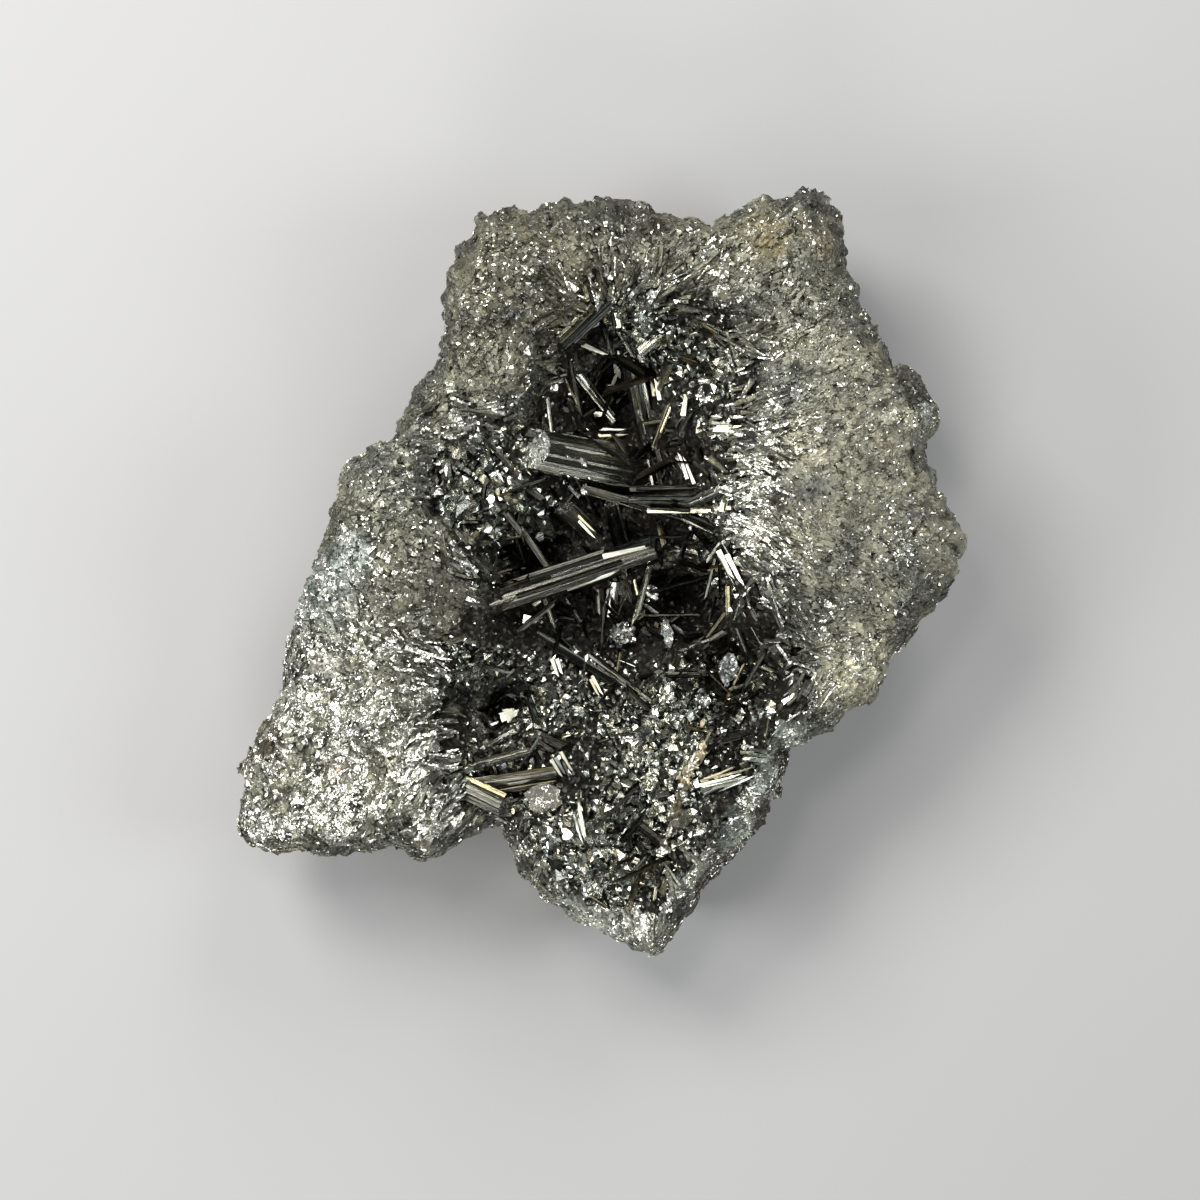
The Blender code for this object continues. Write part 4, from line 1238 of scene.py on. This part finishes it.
def addPrism(bm, layers, root, tip, width, thickness, tipShare, dice, sides, roll, slant=None, tone=None):
    # a rhombic prism whose sides are ridged lengthwise, with a slightly broken end
    turn, length = crystalAxes(root, tip)
    place = Matrix.Translation((root + tip) / 2) @ turn @ Matrix.Rotation(roll, 4, "Z")
    made = bmesh.ops.create_cone(bm, cap_ends=True, segments=sides, radius1=0.5, radius2=0.5,
                                 depth=length)["verts"]
    depth = prismPlan["ridges"]
    ridges = [1 + dice.uniform(-1, 1) * depth - (number % 2) * depth for number in range(sides)]
    anyTone = dice.random()
    anySlant = dice.uniform(-prismPlan["slant"], prismPlan["slant"], 2)
    roundness = prismPlan["roundness"][1 if slant else 0]
    tone, slant = tone or anyTone, slant or anySlant
    for vert in made:
        angle = math.atan2(vert.co.y, vert.co.x)
        number = round(angle / math.tau * sides) % sides
        share = rhombShare(angle, roundness)
        share *= ridges[number] * (tipShare if vert.co.z > 0 else 1.0) * prismPlan["fuller"]
        vert.co.x *= share * width
        vert.co.y *= share * thickness
        if vert.co.z > 0:
            vert.co.z += vert.co.x * slant[0] + vert.co.y * slant[1]
        vert[layers[0]] = tone
        vert[layers[1]] = turn.col[2].to_3d()
    for face in {face for vert in made for face in vert.link_faces if len(face.verts) > 4}:
        face.material_index = 1
    bmesh.ops.transform(bm, matrix=place, verts=made)


def addBeside(bm, layers, root, tip, wide, thick, dice, tone):
    # one thinner crystal along a prism; beside those in endSlants its shade is close to the prism's
    axis = tip - root
    turn = crystalAxes(root, tip)[0].to_3x3()
    angle = dice.uniform(0, math.tau)
    reach = besidePlan["aside"]
    side = turn @ Vector((math.cos(angle) * wide * reach, math.sin(angle) * thick * reach, 0))
    least, most = besidePlan["end"]
    most = besidePlan["cutEnd"] if tone else most + besidePlan["pastTip"] * mm / axis.length
    start, end = dice.uniform(*besidePlan["start"]), dice.uniform(least, most)
    thin = wide * dice.uniform(*besidePlan["width"])
    far = root + axis * end + side * dice.uniform(*besidePlan["splay"])
    tipShare, roll = dice.uniform(*besidePlan["tip"]), dice.uniform(0, math.pi)
    if tone:
        tone += dice.uniform(*besidePlan["tone"])
    addPrism(bm, layers, root + axis * start + side, far, thin, thin * besidePlan["thickness"],
             tipShare, dice, besidePlan["sides"], roll, tone=tone)


def makePrisms():
    dice = np.random.default_rng(prismPlan["seed"])
    bm = bmesh.new()
    layers = bm.verts.layers.float.new("tone"), bm.verts.layers.float_vector.new("axis")
    for number, (*ends, width, thickness, tipShare) in enumerate(prisms):
        root, tip = prismEnds(*ends)
        wide, thick = width * mm * prismPlan["proud"], thickness * mm * prismPlan["proud"]
        # set shades, partly painted light and shade
        slant, tone = endSlants.get(number), tonesAndPaintedLight.get(number)
        sides = prismPlan["sides"] * (2 if slant else 1)
        roll = dice.normal(0, prismPlan["roll"]) * (number > 0)
        addPrism(bm, layers, root, tip, wide, thick, tipShare, dice, sides, roll, slant, tone)
        for _ in range(int(besidePlan["least"] + width * besidePlan["many"])):
            addBeside(bm, layers, root, tip, wide, thick, dice, tone if slant else None)
    return meshFrom(bm, "stoutPrisms")


print("prisms")
addPiece("stoutPrisms", makePrisms(), [prismFinish, brokenEndFinish])

drusePlan = {
    "count": 4600,
    "elsewhere": {"many": 0.03, "size": 0.5},
    "lean": 0.75,
    "tone": 0.45,  # give or take up to a half, and only half as much where the grains are small
    "toneSpread": (1.6, -0.6, 0.5),
    "sizeSpread": 0.35,
    "raised": 0.2,
    "sides": ((0.9, 2.0), (0.6, 1.1), (0.45, 0.9)),  # length, width and thickness, as shares of the size
    "seed": 8,
}

needlePlan = {
    "count": 360,
    "fewer": (-12, 0.5),  # below this y in mm there is this share of them
    "lean": (0.5, 0.8),  # along the lining's direction, and at random
    "flatter": 0.8,
    "length": (1.8, 8.0),  # mm
    "mostlyLow": 1.8,  # the power that makes most lengths short and most shades dark
    "width": (0.4, 1.1),
    "widthSpread": 0.2,
    "thickness": 0.7,
    "highest": 22.5,  # those that would end above this, in mm, are cut shorter
    "shortest": 0.8,
    "leastRise": 0.05,
    "rootDepth": 0.3,
}


def liningPoints(dice, wanted, weight):
    # places on the upper side of the lining, without the prisms on it
    bm = mergedCopy("crystal_crust")
    kept = []
    for face in bm.faces:
        height = overSlab(face.calc_center_median())
        low = height is not None and height < crustPlan["liningBelow"] * mm
        if low and face.normal.z > crustPlan["facing"]:
            kept.append(face)
    corners = np.array([[tuple(vert.co) for vert in face.verts] for face in kept])
    facing = np.array([tuple(face.normal) for face in kept])
    bm.free()
    return spread(dice, [corners[:, side] for side in range(3)], facing, weight, wanted)


def aboutAxis(axes, dice):
    # width and thickness directions at a random turn
    side = unit(np.cross(axes, dice.normal(0, 1, axes.shape)))
    return axes, side, np.cross(axes, side)


def druseWeight(middles, facing):
    return druseValue(middles, "many", drusePlan["elsewhere"]["many"])


def needleWeight(middles, facing):
    highest, share = needlePlan["fewer"]
    return np.where(middles[:, 1] < highest * mm, share, 1.0)


def makeDruse(dice):
    count = drusePlan["count"]
    roots, facing = liningPoints(dice, count, druseWeight)
    axes = unit(facing + dice.normal(0, drusePlan["lean"], facing.shape))
    size = druseValue(roots, "size", drusePlan["elsewhere"]["size"])
    steep, offset, least = drusePlan["toneSpread"]
    tone = drusePlan["tone"] + dice.uniform(-0.5, 0.5, count) * np.clip(size * steep + offset, least, 1)
    size = size * mm * dice.lognormal(0, drusePlan["sizeSpread"], count)
    directions = aboutAxis(axes, dice)
    sides = [size * dice.uniform(*shares, count) for shares in drusePlan["sides"]]
    mesh = joinedMesh("druseGrains", chunkTemplate(seed=4, count=15),
                      roots + axes * size[:, None] * drusePlan["raised"], directions, *sides, {"tone": tone})
    addPiece("druseGrains", mesh, [druseFinish])


def makeNeedles(dice):
    count = needlePlan["count"]
    roots, facing = liningPoints(dice, count, needleWeight)
    outward, astray = needlePlan["lean"]
    axes = unit(facing * outward + dice.normal(0, astray, facing.shape))
    axes[:, 2] = np.abs(axes[:, 2]) * needlePlan["flatter"]
    axes = unit(axes)
    power = needlePlan["mostlyLow"]
    length = needlePlan["length"][0] + np.ptp(needlePlan["length"]) * dice.random(count) ** power
    room = needlePlan["highest"] * mm - roots[:, 2]
    length = np.minimum(length * mm, room / np.maximum(axes[:, 2], needlePlan["leastRise"]))
    length = np.maximum(length, needlePlan["shortest"] * mm)
    width = dice.uniform(*needlePlan["width"], count) * mm
    width = width * dice.lognormal(0, needlePlan["widthSpread"], count)
    directions = aboutAxis(axes, dice)
    values = {"tone": dice.random(count) ** power}
    mesh = joinedMesh("needleCrystals", rodTemplate(sides=8, tipShare=0.85, slant=0.3),
                      roots - axes * needlePlan["rootDepth"] * mm, directions,
                      length, width, width * needlePlan["thickness"], values)
    addPiece("needleCrystals", mesh, [prismFinish])


print("druse")
druseDice = np.random.default_rng(drusePlan["seed"])
makeDruse(druseDice)
makeNeedles(druseDice)

# Single faces that catch the steep light in the main view: x and y, length and width in mm, the way they
# lie in degrees, height over what stands there in mm, how many lie side by side
litFaces = [
    (-10.5, -16.3, 2.2, 1.1, 20, 0.8, 1), (-10.1, -16.1, 1.3, 1.7, 25, 0.8, 1),
    (-12.0, -17.2, 1.2, 0.35, 25, 0.5, 1), (6.0, 20.1, 2.2, 0.9, 100, 0.5, 2),
    (9.4, 11.0, 3.2, 0.8, 113, 0.7, 2), (-0.7, 24.3, 3.2, 0.5, -22, 0.6, 1),
    (-0.3, 17.4, 1.3, 0.7, 0, 0.5, 1), (0.9, 15.7, 3.2, 0.35, 0, 0.6, 1),
    (1.0, 15.0, 3.8, 0.3, 2, 0.6, 1), (9.2, 18.3, 2.7, 0.6, 85, 0.6, 1),
    (13.5, 15.4, 2.9, 1.1, -5, 0.6, 3), (14.1, 0.3, 3.8, 1.1, -62, 0.6, 2),
    (-7.6, -5.5, 1.8, 1.0, -5, 1.2, 1), (-6.9, -3.6, 1.8, 0.5, 35, 0.4, 1),
    (-4.8, -10.8, 2.2, 0.9, -70, 0.6, 2), (-0.6, -12.8, 2.3, 0.7, -65, 0.6, 2),
    (-4.4, -21.2, 2.3, 1.6, -60, 0.5, 4), (-2.5, -27.1, 5.0, 1.1, -69, 0.6, 3),
    (13.3, -23.1, 5.4, 2.0, 16, 0.5, 6), (3.4, -32.1, 3.4, 0.8, -20, 0.5, 2),
    (-1.4, -37.1, 2.0, 1.0, 0, 0.3, 2), (9.9, -21.6, 4.0, 0.6, 68, 0.5, 2),
    (13.6, 7.2, 1.8, 1.2, 80, 0.6, 2), (-23.6, 1.4, 0.9, 1.6, 60, 0.0, 4),
    (-33.9, -28.7, 1.0, 1.8, 10, 0.0, 4), (-16.4, 20.0, 1.2, 1.4, 5, 0.0, 4),
    (3.2, 2.1, 5.6, 0.6, 15, 0.1, 1), (-1.0, -1.2, 6.0, 0.5, 17, 0.1, 1),
    (-2.0, 5.2, 4.4, 0.7, -46, 0.3, 2),
]


def treeOf(mesh):
    bm = bmesh.new()
    bm.from_mesh(mesh)
    return BVHTree.FromBMesh(bm)


def standingHeights(spots):
    # how high the skin, the crust and the prisms stand at each place
    trees = [treeOf(bpy.data.meshes[name]) for name in ("slabSkin", "crystalCrust", "stoutPrisms")]
    hits = [[fromAbove(tree, x, y) for tree in trees] for x, y in spots]
    return np.array([max(hit.z for hit in row if hit) for row in hits])


# Single blocky crystals: x and y, length and width in mm, the way they lie in degrees, and their shade
blocks = [
    # on the side of the thickest crystal
    (-3.6, 12.4, 0.7, 0.5, 30, 0.6), (-2.8, 12.2, 0.6, 0.5, 0, 0.5), (-1.8, 11.7, 1.4, 0.9, 80, 0.95),
    (-4.3, 10.7, 0.9, 0.6, 90, 0.9), (-3.6, 10.4, 0.8, 0.7, 20, 0.8), (-2.7, 10.2, 0.8, 0.6, 50, 0.85),
    (-1.2, 10.2, 1.0, 0.8, 70, 0.8), (-1.9, 9.5, 1.0, 0.7, 100, 0.9), (-1.8, 8.6, 1.6, 0.8, 100, 0.95),
    (0.5, 9.9, 0.7, 0.5, 60, 0.7), (-3.0, 9.6, 0.7, 0.5, 120, 0.7), (-4.1, 9.8, 0.7, 0.6, 0, 0.6),
    # to the left of it
    (-12.5, 11.5, 2.3, 1.4, -15, 0.75), (-16.4, 6.6, 2.6, 1.7, 15, 0.95), (-8.8, 5.6, 2.1, 1.2, 35, 0.5),
    (-9.3, 4.2, 2.0, 1.5, 60, 0.35), (-11.4, 6.8, 2.3, 1.6, 0, 0.3), (-14.0, 8.8, 1.3, 1.2, 80, 0.85),
    (-16.1, 8.8, 1.6, 1.1, 75, 0.9), (-7.4, 5.4, 1.9, 0.8, 105, 0.9), (-11.6, 9.0, 1.3, 1.0, 45, 0.85),
    (-12.9, 7.7, 1.4, 0.7, 100, 0.9), (-4.9, 7.7, 1.1, 0.8, 70, 0.6), (-13.3, 4.6, 1.6, 1.2, 30, 0.55),
    (-10.9, 8.0, 1.0, 0.8, 130, 0.9), (-14.5, 10.9, 1.7, 1.0, 50, 0.6),
    # below the long blades
    (-2.8, -8.9, 1.4, 1.0, 70, 0.55), (-6.4, -10.7, 1.5, 0.7, 65, 0.85), (-14.7, -12.9, 0.9, 0.8, 0, 0.6),
    (9.2, -10.5, 2.1, 0.9, 100, 0.9), (7.8, -11.0, 2.2, 0.8, 80, 0.85), (10.1, -12.1, 1.1, 0.9, 30, 0.95),
    (3.5, -13.3, 1.0, 0.6, 20, 0.98), (11.4, -10.6, 1.3, 0.7, 85, 0.98), (14.1, -14.2, 1.4, 0.8, 60, 0.9),
    (19.2, -11.8, 1.4, 1.1, 30, 0.75), (18.1, -11.6, 1.1, 0.9, 80, 0.7),
    (-2.3, -15.6, 3.6, 1.6, 105, 0.3),
    # in the lower half
    (-0.1, -17.2, 1.8, 1.1, -10, 0.7), (1.9, -16.4, 1.5, 1.2, 0, 0.6), (1.8, -17.9, 1.0, 0.9, 0, 0.95),
    (12.9, -16.3, 1.1, 0.9, 50, 0.98), (14.5, -17.0, 1.4, 0.9, 80, 0.85),
    (11.5, -17.5, 1.3, 1.0, 0, 0.65), (7.3, -19.6, 0.9, 0.8, 0, 0.95), (8.8, -20.0, 1.5, 1.3, 30, 0.6),
    (4.2, -21.4, 1.6, 1.3, 120, 0.8), (0.8, -21.9, 1.9, 1.4, 20, 0.6), (-1.6, -20.5, 1.4, 1.0, 20, 0.6),
    (6.2, -22.1, 1.8, 1.5, 60, 0.7), (5.5, -24.0, 2.0, 1.5, 100, 0.55), (1.0, -24.6, 1.0, 0.9, 0, 0.95),
    (1.6, -28.8, 1.6, 1.3, 30, 0.8), (3.4, -26.4, 1.5, 1.2, 70, 0.6),
]


blockPlan = {
    "fuller": 1.1,
    "raised": 0.25,  # share of the width
    "tilt": 0.15,
    "roll": 0.6,  # radians
    "tone": 0.82,
    "seed": 23,
}


def makeBlocks():
    dice = np.random.default_rng(blockPlan["seed"])
    rows = np.array(blocks)
    long, wide = rows[:, 2] * mm, rows[:, 3] * mm
    height = standingHeights(rows[:, :2] * mm) + wide * blockPlan["raised"]
    turn = np.radians(rows[:, 4])
    tilt = dice.normal(0, blockPlan["tilt"], len(rows))
    along = unit(np.column_stack([np.cos(turn), np.sin(turn), tilt]))
    across = unit(np.cross(np.array(up), along))
    roll = dice.normal(0, blockPlan["roll"], len(rows))
    across, out = turned(across, along, roll), turned(np.cross(along, across), along, roll)
    mesh = joinedMesh("blockyGrains", chunkTemplate(seed=9, count=15),
                      np.column_stack([rows[:, :2] * mm, height]), (along, across, out),
                      long * blockPlan["fuller"], wide * blockPlan["fuller"], wide,
                      {"tone": rows[:, 5] * blockPlan["tone"]})
    addPiece("blockyGrains", mesh, [druseFinish])


streakPlan = {
    "path": [(11.2, -19.5), (10.0, -21.8), (9.2, -23.2), (8.6, -25.4), (8.1, -28.0), (6.9, -30.5)],  # mm
    "grains": 150,
    "size": 0.66,  # mm
    "sizeSpread": 0.3,
    "length": 1.5,  # shares of the size
    "thickness": 0.8,
    "stray": 0.24,  # mm
    "raised": (0.3, 0.9),
    "bright": 0.15,
    # painted shade from the hollow's edge, the same on every grain
    "paintedRimShade": 0.8,
    "seed": 12,
}


def makeStreak():
    # a narrow tan streak of stone across the lower druse
    dice = np.random.default_rng(streakPlan["seed"])
    ends, count = np.array(streakPlan["path"]), streakPlan["grains"]
    step, share = dice.integers(0, len(ends) - 1, count), dice.random((count, 1))
    stray = dice.normal(0, streakPlan["stray"], (count, 2))
    spots = (ends[step] * (1 - share) + ends[step + 1] * share + stray) * mm
    height = standingHeights(spots) + dice.uniform(*streakPlan["raised"], count) * mm
    size = streakPlan["size"] * mm * dice.lognormal(0, streakPlan["sizeSpread"], count)
    directions = aboutAxis(unit(dice.normal(0, 1, (count, 3))), dice)
    values = {"tone": dice.random(count),
              "bright": (dice.random(count) < streakPlan["bright"]).astype(float),
              "rim": np.full(count, streakPlan["paintedRimShade"])}
    mesh = joinedMesh("tanGrains", chunkTemplate(seed=4, count=12), np.column_stack([spots, height]),
                      directions, size * streakPlan["length"], size, size * streakPlan["thickness"], values)
    addPiece("tanGrains", mesh, [grainFinish])


litPlan = {
    "apart": 1.05,  # faces side by side, as a share of their width
    "shift": 0.15,  # the most that one is moved along, as a share of its length
    "liftSpread": 0.1,  # mm
    "length": (0.75, 1.05),
    "turn": 0.04,  # radians
    "thickness": 0.5,  # mm
    "tilt": 0.1,  # at random, but not for those lifted by more than this many mm
    "straightAbove": 0.69,
    "seed": 17,
}


def litRows(dice):
    # each face's place, lift, length and width in mm, and the way it lies
    rows = []
    for x, y, long, wide, angle, lift, count in litFaces:
        turn = math.radians(angle)
        cosine, sine = math.cos(turn), math.sin(turn)
        for number in range(count):
            step = (number - (count - 1) / 2) * wide / count * litPlan["apart"]
            shift = dice.uniform(-litPlan["shift"], litPlan["shift"]) * long
            place = x - sine * step + cosine * shift, y + cosine * step + sine * shift
            raised = lift + dice.uniform(-litPlan["liftSpread"], litPlan["liftSpread"])
            length = long * dice.uniform(*litPlan["length"])
            rows.append((*place, raised, length, wide / count, turn + dice.normal(0, litPlan["turn"])))
    return np.array(rows)


def makeLitFaces():
    # small faces turned half way between the camera and the steep light
    dice = np.random.default_rng(litPlan["seed"])
    rows = litRows(dice)
    ground = standingHeights(rows[:, :2] * mm)
    middles = np.column_stack([rows[:, 0] * mm, rows[:, 1] * mm, ground + rows[:, 2] * mm])
    toCamera = unit(np.array(cameraPlace) - middles)
    toLight = unit(np.array(lights[0]["at"]) * mm - middles)
    tilt = np.where(rows[:, 2:3] > litPlan["straightAbove"], 0.0, litPlan["tilt"])
    out = unit(unit(toCamera + toLight) + dice.normal(0, 1, middles.shape) * tilt)
    lie = np.column_stack([np.cos(rows[:, 5]), np.sin(rows[:, 5]), np.zeros(len(rows))])
    along = unit(lie - out * (lie * out).sum(1, keepdims=True))
    thickness = np.full(len(rows), litPlan["thickness"] * mm)
    mesh = joinedMesh("litCrystals", lathTemplate(), middles, (along, np.cross(out, along), out),
                      rows[:, 3] * mm, rows[:, 4] * mm, thickness, {"tone": dice.random(len(rows))})
    addPiece("litCrystals", mesh, [litFinish])


def calciteGrain():
    bm = mergedCopy("calcite_grain")
    bmesh.ops.subdivide_edges(bm, edges=bm.edges, cuts=1, use_grid_fill=True)
    bmesh.ops.triangulate(bm, faces=bm.faces)
    return meshFrom(bm, "calciteGrain")


cameraPlace = (-0.00011, -0.0033, 0.3867)
cameraLens, nearestSeen = 100, 0.01  # mm, m
floorPlan = {"reach": 1.5, "colour": (0.23, 0.23, 0.234, 1), "roughness": 0.6}  # its reach to each side, in m
skyPlan = {"colour": (0.95, 0.97, 1.0, 1), "strength": 0.09}
lightsAim = Vector((0, 0, 0.02))

# Where each light hangs in mm, its side in mm, watts and colour
lights = [
    {"name": "steepLight", "at": (-75, 115, 425), "size": 70, "power": 0.38, "colour": (1.0, 0.985, 0.94)},
    {"name": "keyLight", "at": (-210, 230, 330), "size": 170, "power": 2.55, "colour": (1.0, 0.985, 0.93)},
    {"name": "topLight", "at": (110, 300, 260), "size": 150, "power": 1.05, "colour": (1.0, 0.985, 0.94)},
    {"name": "leftLight", "at": (-330, -60, 240), "size": 160, "power": 1.55, "colour": (0.98, 0.99, 0.98)},
    {"name": "rightLight", "at": (300, -30, 280), "size": 150, "power": 0.95, "colour": (0.94, 0.975, 1.0)},
    {"name": "lowLight", "at": (-40, -300, 260), "size": 150, "power": 0.9, "colour": (1.0, 0.98, 0.93)},
]


def makeFloor():
    bm = bmesh.new()
    bmesh.ops.create_grid(bm, x_segments=2, y_segments=2, size=floorPlan["reach"])
    floor = bpy.data.objects.new("floor", meshFrom(bm, "floor"))
    bpy.context.scene.collection.objects.link(floor)
    made, tree, shader = newMaterial("paleFloor")
    shader["Base Color"].default_value = floorPlan["colour"]
    shader["Roughness"].default_value = floorPlan["roughness"]
    floor.data.materials.append(made)


def makeLights():
    for plan in lights:
        light = bpy.data.lights.new(plan["name"], "AREA")
        light.size = plan["size"] * mm
        light.energy = plan["power"]
        light.color = plan["colour"]
        lamp = bpy.data.objects.new(plan["name"], light)
        lamp.location = Vector(plan["at"]) * mm
        lamp.rotation_euler = (lightsAim - lamp.location).to_track_quat("-Z", "Y").to_euler()
        bpy.context.scene.collection.objects.link(lamp)
    world = bpy.data.worlds.new("studio")
    world.use_nodes = True
    background = world.node_tree.nodes["Background"].inputs
    background["Color"].default_value = skyPlan["colour"]
    background["Strength"].default_value = skyPlan["strength"]
    bpy.context.scene.world = world


def makeCamera():
    data = bpy.data.cameras.new("camera")
    data.lens = cameraLens
    data.clip_start = nearestSeen
    camera = bpy.data.objects.new("camera", data)
    camera.location = cameraPlace
    bpy.context.scene.collection.objects.link(camera)
    bpy.context.scene.camera = camera


print("single crystals and calcite")
makeLitFaces()
makeBlocks()
makeStreak()
addPiece("calciteGrain", calciteGrain(), [calciteFinish], ["calcite_grain"])

print("stage")
makeFloor()
makeLights()
makeCamera()
bpy.context.scene.view_settings.view_transform = "Standard"
